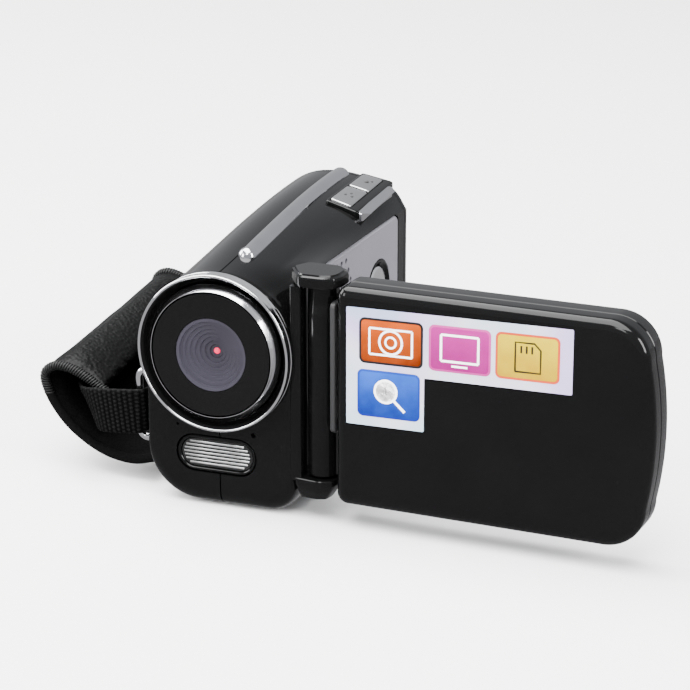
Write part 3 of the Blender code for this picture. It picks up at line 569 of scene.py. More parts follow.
# The rear cover: a polished black cap that closes the case, with holes for its buttons, its screws and the
# sockets. The screws pass through it into both halves.
REAR_BUTTONS = {
    "record_button": (5.0, 46.0, 5.0, "record_key"),
    "power_button": (-8.0, 49.0, 3.2, "power_key"),
    "play_button": (-8.0, 38.0, 2.6, "play_key"),
    "menu_button": (-8.0, 30.0, 2.6, "menu_key"),
}
FLAP_X, FLAP_Z = (-6.0, 12.0), (9.0, 21.0)
SCREW_PLACES = ((-12.6, 12.4), (-8.0, 55.2), (14.6, 26.0))
COVER_ROUND = 2.2
rings = []
depths = [REAR_Y - SKIN_END_Y - GAP]
depths += [COVER_ROUND * (1 - math.sin(math.pi / 2 * k / 8)) for k in range(9)]
for depth in depths:
    rings.append(case_section(REAR_Y - depth, quarter_round(depth, COVER_ROUND)))
rear_cover = loft("rear_cover_moulding", rings, case_black, 17)
rear_tools = [key_well, tools.pop("base_window")]
for name, (x, z, radius, body) in REAR_BUTTONS.items():
    rear_tools.append(disc(name + "_hole", (x, z), "Y", SKIN_END_Y - 2, REAR_Y + 3, radius + GAP))
for x, z in SCREW_PLACES:
    rear_tools.append(disc("screw_bore", (x, z), "Y", SKIN_END_Y - 2, REAR_Y + 3, 1.9, 32))
pocket = rounded(FLAP_X[0] - GAP, FLAP_Z[0] - GAP, FLAP_X[1] + GAP, FLAP_Z[1] + GAP, 0.9, 5)
rear_tools.append(prism("flap_pocket", pocket, "Y", SKIN_END_Y - 2, REAR_Y + 3))
carve(rear_cover, *rear_tools)
rear_cover.data.set_sharp_from_angle(angle=math.radians(17))
scrap(*rear_tools)
fit(rear_cover, "body", "gloss_black", "rear_cover")


# The buttons on the rear: a bright record button and three black ones, pressed from behind the cover. Each
# has a dished crown.
def bright_chrome(name, colour=(0.78, 0.78, 0.8), roughness=0.06):
    """Chrome plating on plastic: bright, with a faint polish grain and softer patches."""
    surface, inputs, place = blank(name, roughness, 1.0)
    cloud = noise_at(place, 120.0, 2.0)
    dark = tuple(c * 0.86 for c in colour)
    blend_colours(cloud, dark, colour).to(inputs["Base Color"])
    (cloud * 0.07 + roughness).to(inputs["Roughness"])
    bump_into(inputs, noise_at(place, 700.0, 2.0), 0.002)
    return surface


def satin_plastic(name, colour, roughness=0.4, grain_mm=0.22):
    """Spark-eroded black plastic: a fine even grain that breaks the highlight."""
    surface, inputs, place = blank(name, roughness, Specular_IOR_Level=0.28)
    grain = noise_at(place, 1 / (grain_mm * MM), 2.0)
    cloud = noise_at(place, 70.0, 2.0)
    pale = tuple(c * 1.6 + 0.004 for c in colour)
    blend_colours(grain * 0.5 + cloud * 0.5, colour, pale).to(inputs["Base Color"])
    (cloud * 0.12 + (roughness - 0.06)).to(inputs["Roughness"])
    bump_into(inputs, grain, 0.02, 0.6)
    return surface


chrome = bright_chrome("bright_chrome")
satin_black = satin_plastic("satin_black", (0.012, 0.012, 0.0125))
symbol_white = satin_plastic("symbol_white", (0.55, 0.55, 0.55), 0.5)
symbol_red = satin_plastic("symbol_red", (0.5, 0.015, 0.01), 0.35)
for name, (x, z, radius, body) in REAR_BUTTONS.items():
    low, high = SKIN_END_Y + 0.8, REAR_Y + 0.9
    dish = [(radius * 0.8 * (1 - k / 8), high - 0.35 * math.sin(math.pi / 2 * k / 8)) for k in range(9)]
    crown = softened([(radius, low), (radius, high - 0.3), (radius * 0.9, high)], 0.3)[5:]
    profile = [(0, low), (radius, low)] + crown + dish
    record = name == "record_button"
    button = turned(name + "_cap", profile, (x, z), "Y", chrome if record else satin_black, 64, 35)
    fit(button, body, "bright_chrome" if record else "satin_black", name)
    mark_r = radius * (0.36 if record else 0.2)
    mark_y = high - 0.32
    mark = disc(name + "_mark", (x, z), "Y", mark_y - 0.2, mark_y + 0.06, mark_r, 32)
    mark.data.materials.append(symbol_red if record else symbol_white)
    fit(mark, body, "satin_black")


# The port flap: a soft satin cover over the sockets, hinged on its left edge, with a nail notch on its right.
flap_outline = rounded(*(FLAP_X[0], FLAP_Z[0], FLAP_X[1], FLAP_Z[1]), 0.7, 5)
levels = ((REAR_Y - 1.4, 0.0), (REAR_Y - 0.25, 0.0), (REAR_Y + 0.02, 0.12), (REAR_Y + 0.1, 0.4))
rings = []
for y, inset in levels:
    middle = Vector(((FLAP_X[0] + FLAP_X[1]) / 2, (FLAP_Z[0] + FLAP_Z[1]) / 2))
    ring = []
    for u, v in flap_outline:
        du, dv = u - middle.x, v - middle.y
        ring.append((u - math.copysign(inset, du), y, v - math.copysign(inset, dv)))
    rings.append(ring)
flap = loft("port_flap_cover", rings, satin_black)
notch = disc("nail_notch", (FLAP_X[1] - 0.4, (FLAP_Z[0] + FLAP_Z[1]) / 2), "Y", REAR_Y - 0.4, REAR_Y + 2, 2.2)
carve(flap, notch)
flap.data.set_sharp_from_angle(angle=math.radians(30))
scrap(notch)
fit(flap, "port_cover", "satin_black", "port_flap")


# The lens: a chromed rim with a groove inside it, a chromed lip, and a black window with a clear eye. Behind
# the eye a grey-violet cone steps down to the small lens.
RIM_Y = -39.6
FLANGE_R = 18.0
GLASS_R = 14.0
GLASS_Y = -40.2
EYE_R = 8.3
lens_axis = (0, AXIS_Z)
rim = [
    (FLANGE_R - 0.25, FRONT_Y - GAP),
    (FLANGE_R, FRONT_Y - GAP - 0.25),
    (FLANGE_R, RIM_Y + 2.3),
    (FLANGE_R - 0.22, RIM_Y + 2.2),
    (FLANGE_R - 0.22, RIM_Y + 1.95),
    (FLANGE_R, RIM_Y + 1.85),
    (FLANGE_R, RIM_Y + 0.5),
]
BEAD_R = 0.32
rim += [
    (FLANGE_R - BEAD_R + BEAD_R * math.cos(math.pi * k / 8), RIM_Y + BEAD_R * (1 - math.sin(math.pi * k / 8)))
    for k in range(0, 9)
]
rim += [(FLANGE_R - 2 * BEAD_R, FRONT_Y - GAP)]
rim_piece = turned("lens_rim", rim, lens_axis, "Y", chrome, 176, 24)
fit(rim_piece, "body", "bright_chrome", "bezel_flange")
floor_r = FLANGE_R - 2 * BEAD_R
groove = [(LIP_R + GAP, FRONT_Y - GAP), (floor_r, FRONT_Y - GAP)]
groove += [(floor_r, RIM_Y + 0.4), (floor_r - 0.15, RIM_Y + 0.55)]
groove += [(floor_r - 0.6, RIM_Y + 1.9), (LIP_R + GAP + 0.25, RIM_Y + 2.5), (LIP_R + GAP, RIM_Y + 2.6)]
groove_piece = turned("lens_rim_groove", groove, lens_axis, "Y", case_black, 144, 30)
fit(groove_piece, "body", "gloss_black")
lip = [(GLASS_R + GAP, GLASS_Y), (GLASS_R + GAP + 0.12, GLASS_Y - 0.0)]
lip += [(LIP_R - 0.3, GLASS_Y + 1.3), (LIP_R, GLASS_Y + 1.8)]
lip += [(LIP_R, FRONT_Y + 2.5), (GLASS_R + GAP, FRONT_Y + 2.5)]
lip_piece = turned("lens_lip_ring", lip, lens_axis, "Y", chrome, 176, 24)
fit(lip_piece, "body", "bright_chrome", "lens_lip")


def window_black():
    """Acrylic printed black on its back: a clear, even gloss over a dark grey that shows fine dust."""
    surface, inputs, place = blank("window_black", 0.06, Specular_IOR_Level=0.2)
    cloud = noise_at(place, 45.0, 2.0)
    specks = noise_at(place, 3800.0, 2.0)
    dust = specks.maths("GREATER_THAN", specks, 0.76)
    tint = blend_colours(dust * 0.5 + cloud * 0.4, (0.002, 0.002, 0.002), (0.004, 0.004, 0.0045))
    tint.to(inputs["Base Color"])
    (cloud * 0.04 + dust * 0.15 + 0.04).to(inputs["Roughness"])
    return surface


window = [(EYE_R + 0.12, GLASS_Y + 0.05), (GLASS_R - 0.1, GLASS_Y + 0.05), (GLASS_R, GLASS_Y + 0.2)]
window += [(GLASS_R, GLASS_Y + 1.4), (EYE_R + 0.12, GLASS_Y + 1.4)]
window_piece = turned("lens_window_ring", window, lens_axis, "Y", window_black(), 144, 30)
fit(window_piece, "body", "dark_glass", "lens_window")


def eye_coating():
    """Coated baffle: grey with a violet cast."""
    surface, inputs, place = blank("eye_coating", 0.5, Specular_IOR_Level=0.1)
    cloud = noise_at(place, 160.0, 2.0)
    fine = noise_at(place, 2400.0, 1.0)
    blend_colours(cloud, (0.018, 0.0165, 0.023), (0.026, 0.024, 0.033)).to(inputs["Base Color"])
    (fine * 0.15 + 0.45).to(inputs["Roughness"])
    return surface


CONE_STEPS = 7
CONE_DEEP = 3.4
cone = [(EYE_R, GLASS_Y + 0.15)]
for k in range(CONE_STEPS):
    radius = EYE_R - 0.9 - k * 1.0
    depth = GLASS_Y + 0.25 + CONE_DEEP * ((k + 1) / CONE_STEPS) ** 0.9
    cone += [(radius + 0.22, cone[-1][1] + 0.06), (radius + 0.06, depth - 0.05), (radius, depth)]
cone += [(0, cone[-1][1])]
cone += [(0, cone[-1][1] + 0.25), (EYE_R - CONE_STEPS + 0.4, cone[-1][1] + 0.25), (EYE_R, GLASS_Y + 0.9)]
eye = turned("lens_eye_steps", cone, lens_axis, "Y", eye_coating(), 96, 20)
fit(eye, "body", "eye_glass", "lens_glass")


def lens_coating_painted_glow():
    """The small lens in the cone's middle, whose coating shows pink; the same pink is given off as a painted
    glow, though the lens is no lamp.
    """
    surface, inputs, place = blank("lens_coating_painted_glow", 0.2, Emission_Strength=1.8)
    cloud = noise_at(place, 900.0, 1.0)
    pink = blend_colours(cloud, (0.4, 0.002, 0.03), (0.6, 0.006, 0.06))
    pink.to(inputs["Base Color"])
    # painted glow: the pink also drives the emission, so the lens shines pink whatever light falls on it
    pink.to(inputs["Emission Color"])
    return surface


DOT_R = 0.74
dot_y = GLASS_Y + 0.25 + CONE_DEEP
dome = [(0, dot_y - 0.45)] + [
    (DOT_R * math.sin(math.pi / 2 * k / 6), dot_y - 0.45 * math.cos(math.pi / 2 * k / 6)) for k in range(1, 7)
]
dome += [(DOT_R, dot_y + 0.1), (0, dot_y + 0.1)]
# the bead carries the lens coating with its painted pink glow
dot = turned("lens_front_bead", dome, lens_axis, "Y", lens_coating_painted_glow(), 32, 40)
fit(dot, "body", "eye_glass")


# The lamp: a satin frame in the case's front, and behind it a row of bright half-round slats, as long as the
# stadium-shaped opening is wide at each one's height.
def lamp_slats_tree(surface):
    """A column of half-round slats, each stretched to the stadium's width at its height."""
    tree = bpy.data.node_groups.new("lamp_slats", "GeometryNodeTree")
    for label, kind in (("Width", "FLOAT"), ("Height", "FLOAT"), ("Slats", "INT"), ("Thickness", "FLOAT")):
        tree.interface.new_socket(label, in_out="INPUT", socket_type=f"NodeSocket{kind.title()}")
    tree.interface.new_socket("Geometry", in_out="OUTPUT", socket_type="NodeSocketGeometry")
    wire = Wire(tree)
    width = wire.node("NodeGroupInput", out=0)
    group = width.socket.node
    height, slats, thickness = (Wire(tree, group.outputs[k]) for k in (1, 2, 3))
    pitch = height / slats
    index = wire.node("GeometryNodeInputIndex")
    level = (index + 0.5) * pitch - height * 0.5
    radius = height * 0.5
    chord = (radius * radius - level * level).maths("SQRT", radius * radius - level * level)
    column = wire.node("GeometryNodeMeshLine", None, {"Count": slats})
    spot = wire.node("ShaderNodeCombineXYZ", None, {"Z": level})
    column = wire.node("GeometryNodeSetPosition", None, {"Geometry": column, "Position": spot})
    bar = wire.node("GeometryNodeMeshCylinder", None, {"Vertices": 16, "Radius": thickness, "Depth": 1.0})
    turn = wire.node("ShaderNodeCombineXYZ", None, {"Y": math.pi / 2})
    reach = width - height + chord * 2 - thickness
    size = wire.node("ShaderNodeCombineXYZ", None, {"X": 1.0, "Y": 0.62, "Z": reach})
    links = {"Points": column, "Instance": bar, "Rotation": turn, "Scale": size}
    placed = wire.node("GeometryNodeInstanceOnPoints", None, links)
    real = wire.node("GeometryNodeRealizeInstances", None, {"Geometry": placed})
    real = wire.node("GeometryNodeSetShadeSmooth", None, {"Geometry": real})
    done = wire.node("GeometryNodeSetMaterial", None, {"Geometry": real, "Material": surface})
    end = tree.nodes.new("NodeGroupOutput")
    done.to(end.inputs[0])
    return tree


def grown(name, tree, values, start=None):
    """The mesh that a geometry tree makes from named input values, as a plain object at the origin."""
    holder = start or bpy.data.objects.new(name, bpy.data.meshes.new(name))
    if not start:
        bpy.context.scene.collection.objects.link(holder)
    modifier = holder.modifiers.new(name, "NODES")
    modifier.node_group = tree
    for item in tree.interface.items_tree:
        if item.in_out == "INPUT" and item.name in values:
            modifier[item.identifier] = values[item.name]
    bpy.context.view_layer.update()
    graph = bpy.context.evaluated_depsgraph_get()
    mesh = bpy.data.meshes.new_from_object(holder.evaluated_get(graph))
    bpy.data.objects.remove(holder)
    mesh.name = name
    piece = bpy.data.objects.new(name, mesh)
    bpy.context.scene.collection.objects.link(piece)
    return piece


def move_mesh(piece, offset):
    for vertex in piece.data.vertices:
        vertex.co += Vector(offset) * MM
    piece.data.update()


slat_values = {
    "Width": (LAMP_W - 1.0) * MM,
    "Height": (LAMP_H - 0.7) * MM,
    "Slats": 7,
    "Thickness": 0.25 * MM,
}
slat_silver = bright_chrome("slat_silver", (0.6, 0.6, 0.6), 0.36)
slats = grown("lamp_slats", lamp_slats_tree(slat_silver), slat_values)
move_mesh(slats, (LAMP_X, FRONT_Y + 0.45, LAMP_Z))
fit(slats, "body", "ribbed_lamp")
plate = []
for y, inset in ((FRONT_Y + 1.75, 0.0), (FRONT_Y + 0.62, 0.0), (FRONT_Y + 0.5, 0.12)):
    plate.append([(u, y, v) for u, v in lamp_outline(-inset)])
lamp_back = satin_plastic("lamp_back", (0.006, 0.006, 0.006), 0.35)
fit(loft("lamp_backplate", plate, lamp_back), "body", "ribbed_lamp", "lamp_lens")
outer, inner = lamp_outline(0.9), lamp_outline(0.12)
frame_rings = [(inner, 2.6), (outer, 2.6), (outer, 0.32), (lamp_outline(0.75), 0.16)]
frame_rings += [(lamp_outline(0.4), 0.14), (lamp_outline(0.2), 0.3), (inner, 0.5)]
count = len(outer)
points, faces = [], []
for ring, depth in frame_rings:
    points += [(u, FRONT_Y + depth, v) for u, v in ring]
for k in range(len(frame_rings)):
    after = (k + 1) % len(frame_rings)
    for i in range(count):
        j = (i + 1) % count
        faces.append((k * count + i, k * count + j, after * count + j, after * count + i))
fit(shape("lamp_surround", points, faces, case_black), "body", "satin_black", "lamp_frame")


# The bright bar on the top: a half-round plated trim that lies on the seam and ends in a round tip.
STRIP_X = 1.9
STRIP_R = 2.2
STRIP_FRONT, STRIP_REAR = -25.6, 33.4
dark_chrome = bright_chrome("dark_chrome", (0.5, 0.5, 0.52), 0.1)
tip = STRIP_R * 0.9
strip_stations = [(STRIP_FRONT + tip * (1 - math.cos(math.pi / 2 * k / 10)), k / 10) for k in range(1, 11)]
span = STRIP_REAR - STRIP_FRONT - tip
strip_stations += [(STRIP_FRONT + tip + span * k / 30, 1.0) for k in range(1, 31)]
rings = []
for y, share in strip_stations:
    size = math.sin(math.pi / 2 * share) if share < 1 else 1.0
    base = AXIS_Z + top_height(y) - 0.75
    radius = STRIP_R * size
    ring = [(STRIP_X + radius, y, base - 0.5), (STRIP_X + radius, y, base)]
    ridge = 1 + 0.28 * (1 - ease(STRIP_FRONT, STRIP_FRONT + 4.5, y))
    for k in range(1, 20):
        angle = math.pi * k / 20
        lift = radius * 0.98 * ridge * math.sin(angle) ** 0.85
        ring.append((STRIP_X + radius * math.cos(angle), y, base + lift))
    rings.append(ring + [(STRIP_X - radius, y, base), (STRIP_X - radius, y, base - 0.5)])
fit(loft("top_trim_bar", rings, dark_chrome, 35), "body", "bright_chrome", "top_strip")


# The keys on the top: two bright rocker keys in a polished sloping plate, with a plated edge beside it. Each
# key carries a generic mark.
PLATE_X = (6.5, 14.6)
PLATE_Y = (11.6, 35.8)
silver_key = bright_chrome("silver_key", (0.5, 0.5, 0.51), 0.2)
mark_dark = satin_plastic("mark_dark", (0.02, 0.02, 0.02), 0.5)


def plate_top(x, y):
    """Height of the key plate's sloping top."""
    along = (y - PLATE_Y[0]) / (PLATE_Y[1] - PLATE_Y[0])
    across = (x - PLATE_X[0]) / (PLATE_X[1] - PLATE_X[0])
    return 60.2 + 0.95 * along - (2.3 - 0.8 * along) * across


def sloped_block(name, xs, ys, lift, depth, surface, rim=0.4, crown=0.0):
    """A block whose top follows the plate's slope, lift above it, with a rounded rim and a slight crown."""
    levels = [(-depth, 0.0), (lift - rim, 0.0)]
    for k in range(1, 6):
        turn = math.pi / 2 * k / 5
        levels.append((lift - rim + rim * math.sin(turn), rim * (1 - math.cos(turn))))
    levels += [(lift + crown * 0.7, 1.2), (lift + crown, 2.2)]
    rings = []
    for level, inset in levels:
        ring = []
        corner = max(0.7 - inset * 0.5, 0.3)
        for x, y in rounded(xs[0] + inset, ys[0] + inset, xs[1] - inset, ys[1] - inset, corner, 5):
            ring.append((x, y, plate_top(x, y) + level))
        rings.append(ring)
    return loft(name, rings, surface, 24)


plate_piece = sloped_block("key_plate_moulding", PLATE_X, PLATE_Y, 0.2, 7.0, case_black)
outer_form = case_form("outer_form", GAP * 0.2, FRONT_Y - 0.2, REAR_Y + 2, fine=4)
key_outline = rounded(KEY_X[0] - 0.2, KEY_YS[0][0] - 0.2, KEY_X[1] + 0.2, KEY_YS[1][1] + 0.2, 0.8)
key_hole = prism("key_hole", key_outline, "Z", 50, 70)
carve(plate_piece, key_hole, outer_form)
plate_piece.data.set_sharp_from_angle(angle=math.radians(24))
fit(plate_piece, "body", "gloss_black", "key_plate")
trim_x = (PLATE_X[1] + 0.15, PLATE_X[1] + GAP + 0.7)
trim_y = (PLATE_Y[0] + 0.2, PLATE_Y[1] - 3.2)
trim = sloped_block("key_plate_edge", trim_x, trim_y, 0.05, 2.6, dark_chrome, 0.25)
fit(trim, "body", "bright_chrome", "key_trim")
scrap(key_hole, outer_form)
for name, ys, body in zip(("top_key_front", "top_key_rear"), KEY_YS, ("key_front", "key_rear")):
    key = sloped_block(name + "_cap", KEY_X, ys, 0.6, 1.4, silver_key, 0.3, 0.12)
    fit(key, body, "silver_paint", name)
    middle = ((KEY_X[0] + KEY_X[1]) / 2, (ys[0] + ys[1]) / 2)
    spots = [(0, 1.3), (-0.8, -0.3), (0.8, -0.3)] if body == "key_front" else [(0, 0), (1.1, 1.1)]
    for k, (dx, dy) in enumerate(spots):
        x, y = middle[0] + dx, middle[1] + dy
        top = plate_top(x, y) + 0.7
        radius = 0.42 if body == "key_front" else 0.75 - 0.4 * k
        spot = disc(f"{name}_mark_{k}", (x, y), "Z", top - 0.2, top + 0.05, radius, 20)
        spot.data.materials.append(mark_dark)
        fit(spot, body, "silver_paint")


# The side panel: a silver-painted insert with a bevelled edge, a cluster of sound holes and a round push
# button in a plated ring.
PANEL_FACE = 18.1
PUSH_Y, PUSH_Z = 16.2, 38.1
PUSH_RING_R = 7.6
PUSH_R = 5.3
HOLE_R = 0.65
HOLE_PITCH = 2.8
HOLE_COUNTS = (4, 4, 5, 4)
HOLE_Y, HOLE_Z = -13.2, 51.0


def silver_paint():
    """Light grey metallic paint: fine flakes that turn bright one by one under a satin clear coat."""
    surface, inputs, place = blank("silver_paint", 0.34, 0.55, Coat_Weight=0.25, Coat_Roughness=0.1)
    flakes = place.node("ShaderNodeTexVoronoi", None, {"Vector": place, "Scale": 9000.0})
    cloud = noise_at(place, 50.0, 2.0)
    tone = blend_colours(flakes * 0.7 + cloud * 0.3, (0.16, 0.156, 0.178), (0.27, 0.264, 0.295))
    tone.to(inputs["Base Color"])
    (cloud * 0.08 + flakes * 0.1 + 0.26).to(inputs["Roughness"])
    bump_into(inputs, noise_at(place, 5200.0, 1.0), 0.006)
    return surface


def sound_holes_tree():
    """Round pegs on a staggered row, one tree for each row's count."""
    tree = bpy.data.node_groups.new("sound_hole_row", "GeometryNodeTree")
    for label, kind in (("Count", "Int"), ("Pitch", "Float"), ("Radius", "Float"), ("Start", "Vector")):
        tree.interface.new_socket(label, in_out="INPUT", socket_type=f"NodeSocket{kind}")
    tree.interface.new_socket("Geometry", in_out="OUTPUT", socket_type="NodeSocketGeometry")
    wire = Wire(tree)
    count = wire.node("NodeGroupInput")
    pitch, radius, start = (Wire(tree, count.socket.node.outputs[k]) for k in (1, 2, 3))
    step = wire.node("ShaderNodeCombineXYZ", None, {"Y": pitch})
    row = wire.node("GeometryNodeMeshLine", None, {"Count": count, "Start Location": start, "Offset": step})
    peg = wire.node("GeometryNodeMeshCylinder", None, {"Vertices": 28, "Radius": radius, "Depth": 14 * MM})
    turn = wire.node("ShaderNodeCombineXYZ", None, {"Y": math.pi / 2})
    sockets = {"Points": row, "Instance": peg, "Rotation": turn}
    placed = wire.node("GeometryNodeInstanceOnPoints", None, sockets)
    real = wire.node("GeometryNodeRealizeInstances", None, {"Geometry": placed})
    real.to(tree.nodes.new("NodeGroupOutput").inputs[0])
    return tree


silver = silver_paint()
rings = []
panel_levels = [(PANEL_FACE - WALL, 0.0), (PANEL_FACE - 0.55, 0.0)]
panel_levels += [(PANEL_FACE - 0.5 + 0.5 * k / 4, 0.5 * k / 4) for k in range(5)]
for x, inset in panel_levels:
    low_corner = (PANEL_Y[0] + inset, PANEL_Z[0] + inset)
    high_corner = (PANEL_Y[1] - inset, PANEL_Z[1] - inset)
    edge = rounded(*low_corner, *high_corner, 1.7 - inset, 8)
    rings.append([(x, y, z) for y, z in edge])
panel = loft("side_panel_insert", rings, silver, 28)
row_tree = sound_holes_tree()
pegs = []
for row, holes in enumerate(HOLE_COUNTS):
    start = Vector((16, HOLE_Y + 0.5 * (row % 2) * HOLE_PITCH, HOLE_Z - row * HOLE_PITCH * 0.9)) * MM
    values = {"Count": holes, "Pitch": HOLE_PITCH * MM, "Radius": HOLE_R * MM, "Start": tuple(start)}
    pegs.append(grown(f"sound_hole_row_{row}", row_tree, values))
pegs.append(disc("push_hole", (PUSH_Y, PUSH_Z), "X", 10, 24, PUSH_RING_R + 0.12, 96))
carve(panel, *pegs)
panel.data.set_sharp_from_angle(angle=math.radians(28))
scrap(*pegs)
fit(panel, "body", "silver_paint", "side_panel")
face = HALF_WIDTH + 0.25
ring_profile = softened(
    [
        (PUSH_R + 0.9, HALF_WIDTH - 2.2),
        (PUSH_RING_R, HALF_WIDTH - 2.2),
        (PUSH_RING_R, face - 0.15),
        (PUSH_RING_R - 0.55, face),
        (PUSH_RING_R - 1.0, face - 0.5),
        (PUSH_R + 0.9, face - 0.9),
    ],
    0.12,
)
push_axis = (PUSH_Y, PUSH_Z)
push_ring = turned("push_button_ring", ring_profile, push_axis, "X", case_black, 96, 40)
fit(push_ring, "body", "bright_chrome", "push_ring")
crown = [(PUSH_R + 0.6, 16.0), (PUSH_R + 0.6, face - 0.75)]
for k in range(1, 8):
    turn = math.pi / 2 * k / 8
    crown.append(((PUSH_R + 0.6) * math.cos(turn) ** 0.6, face - 0.75 + 0.75 * math.sin(turn)))
push_silver = bright_chrome("push_silver", (0.85, 0.85, 0.86), 0.22)
push = turned("push_button_cap", [(0, 16.0)] + crown + [(0, face)], push_axis, "X", push_silver, 96, 40)
fit(push, "side_key", "silver_paint", "side_button")


# The screen's hinge: a polished block screwed to the case, with a cap, a foot and a wall, and between them a
# round column that turns on a steel pin. A satin plate on the column carries the tilt shaft.
swing = next(joint for joint in frame["joints"] if joint["name"] == "lcd_swing")
HINGE = Vector(swing["pos_m"]) / MM
OPEN_TURN = math.radians(-2.6)
COLUMN_R = 3.6
COLUMN_Z = (10.0, 53.6)
COLUMN_FLAT = 3.3
SPINE_X = (18.3, 19.5)
SPINE_Y = (-36.2, -29.2)
PIN_R = 1.2
TILT_Z = 30.4
TILT_Y = -0.6
SHAFT_R = 1.5
PLATE_IN = (3.6, 4.8)


def from_hinge(p):
    """A point measured from the hinge axis, along the open screen and across it, in the camcorder's frame."""
    c, s = math.cos(OPEN_TURN), math.sin(OPEN_TURN)
    return (HINGE.x + p[0] * c - p[1] * s, HINGE.y + p[0] * s + p[1] * c, p[2])


def swung(rings):
    return [[from_hinge(p) for p in ring] for ring in rings]


def knuckle(corners, centre, levels, soft):
    """Rings of a faceted block: its outline rounded at the corners and scaled about centre at each level."""
    outline = softened(corners, soft, 5)
    rings = []
    for z, s in levels:
        ring = []
        for u, v in outline:
            ring.append((centre[0] + (u - centre[0]) * s, centre[1] + (v - centre[1]) * s, z))
        rings.append(ring)
    return rings


hinge_black = polished_plastic("hinge_black", (0.0016, 0.0016, 0.0017), 0.14)
cap_corners = [(19.0, -36.7), (20.2, -37.4), (25.0, -37.4), (27.6, -36.4), (28.6, -33.8), (28.6, -29.8)]
cap_corners += [(27.0, -27.4), (24.6, -26.6), (17.6, -26.6), (15.4, -30.8)]
low, high = COLUMN_Z[1] + GAP, COLUMN_Z[1] + 3.2
cap_levels = [(low, 0.97), (low + 0.25, 1.0), (low + 1.7, 1.0)]
cap_levels += [(low + 2.3, 0.975), (high - 0.35, 0.88), (high, 0.84)]
cap = loft("hinge_cap_block", knuckle(cap_corners, (21.6, -32.0), cap_levels, 0.8), hinge_black, 24)
foot_corners = [(18.0, -36.2), (24.0, -37.0), (27.0, -35.8), (27.8, -31.8)]
foot_corners += [(26.6, -28.6), (24.0, -27.3), (18.0, -27.6)]
top = COLUMN_Z[0] - GAP
foot_levels = [(4.8, 0.66), (5.3, 0.72), (top - 1.6, 0.98), (top - 1.0, 1.0), (top - 0.2, 1.0), (top, 0.98)]
foot = loft("hinge_foot_block", knuckle(foot_corners, (20.6, -31.8), foot_levels, 0.8), hinge_black, 24)
spine_corners = [(SPINE_X[1], SPINE_Y[0] + 0.2), (SPINE_X[1], SPINE_Y[1])]
spine_corners += [(17.0, SPINE_Y[1]), (17.0, SPINE_Y[0])]
spine_outline = softened(spine_corners, 0.6, 5)
spine = prism("hinge_wall", spine_outline, "Z", COLUMN_Z[0] - 1.0, COLUMN_Z[1])
grown_form = case_form("grown_form", GAP * 0.5, FRONT_Y - 0.2, REAR_Y + 2, fine=4)
pin_hole = disc("pin_hole", (HINGE.x, HINGE.y), "Z", 7.0, 55.8, PIN_R + 0.05)
carve(foot, spine, operation="UNION")
for block in (cap, foot):
    carve(block, grown_form, pin_hole)
    block.data.set_sharp_from_angle(angle=math.radians(24))
fit(cap, "body", "gloss_black", "hinge_cap")
fit(foot, "body", "gloss_black", "hinge_foot")
scrap(spine, grown_form, pin_hole)

rings = []
neck = 4.6
column_levels = [COLUMN_Z[0] + 0.3 * k / 3 for k in range(4)]
column_levels += [COLUMN_Z[0] + 4 * k for k in range(1, 9)]
column_levels += [COLUMN_Z[1] - neck - 3 + (neck + 3) * k / 14 for k in range(15)]
for z in column_levels:
    edge = 0.3 - min(z - COLUMN_Z[0], COLUMN_Z[1] - z, 0.3)
    waist = 1 - 0.2 * math.sin(math.pi / 2 * ease(COLUMN_Z[1] - neck - 3, COLUMN_Z[1] - 1.0, z))
    ring = []
    for k in range(72):
        angle = 2 * math.pi * k / 72
        x = min((COLUMN_R - edge) * math.cos(angle), COLUMN_FLAT - edge)
        y = (COLUMN_R - edge) * math.sin(angle) * waist
        ring.append((x, y, z))
    rings.append(ring)
column = loft("hinge_column_barrel", swung(rings), hinge_black, 28)
bore = disc("column_bore", (HINGE.x, HINGE.y), "Z", 5, 60, PIN_R + 0.05)
socket_rings = []
for x in (1.6, 12.0):
    reach = SHAFT_R + GAP
    turns = [2 * math.pi * k / 32 for k in range(32)]
    socket_rings.append([(x, TILT_Y + reach * math.cos(t), TILT_Z + reach * math.sin(t)) for t in turns])
socket = loft("shaft_socket", swung(socket_rings), None)
carve(column, bore, socket)
column.data.set_sharp_from_angle(angle=math.radians(28))
fit(column, "screen_arm", "gloss_black", "hinge_column")
rings = []
stamping_levels = [(PLATE_IN[0], 0.15), (PLATE_IN[0] + 0.15, 0.0)]
stamping_levels += [(PLATE_IN[1] - 0.2, 0.0), (PLATE_IN[1], 0.2)]
for x, inset in stamping_levels:
    outline = rounded(-5.0 + inset, 21.4 + inset, 3.8 - inset, 51.0 - inset, 1.2 - inset, 8)
    rings.append([(x, y, z) for y, z in outline])
plate_piece = loft("swivel_plate_stamping", swung(rings), satin_black, 30)
carve(plate_piece, socket)
fit(plate_piece, "screen_arm", "satin_black", "swivel_plate")
scrap(bore)


# The screen panel: a polished cover and a frame that close on each other like a shell, with round outer
# corners and a slight bow at the free end. The cover's outside carries the label, the frame the display.
LCD_X = (5.1, 76.8)
LCD_Z = (5.4, 55.2)
LCD_Y = (-6.0, 4.8)
LCD_SPLIT = -0.8
SCREEN_W, SCREEN_H = 36.6, 27.4
SCREEN_X = 41.0
CORNER_NEAR = 2.6
CORNER_FAR = 9.0
BOW = 1.6


def lcd_outline(inset):
    x0, x1 = LCD_X[0] + inset, LCD_X[1] - inset
    z0, z1 = LCD_Z[0] + inset, LCD_Z[1] - inset
    near, far = max(CORNER_NEAR - inset, 0.3), max(CORNER_FAR - inset, 1.0)
    outline = arc((x0 + near, z0 + near), near, near, 2, 180, 10)
    outline += arc((x1 - far - BOW, z0 + far), far, far, 2, 270, 20)
    for k in range(1, 16):
        t = k / 16
        outline.append((x1 - BOW * abs(2 * t - 1) ** 2.0, z0 + far + (z1 - z0 - 2 * far) * t))
    outline += arc((x1 - far - BOW, z1 - far), far, far, 2, 0, 20)
    outline += arc((x0 + near, z1 - near), near, near, 2, 90, 10)
    return outline


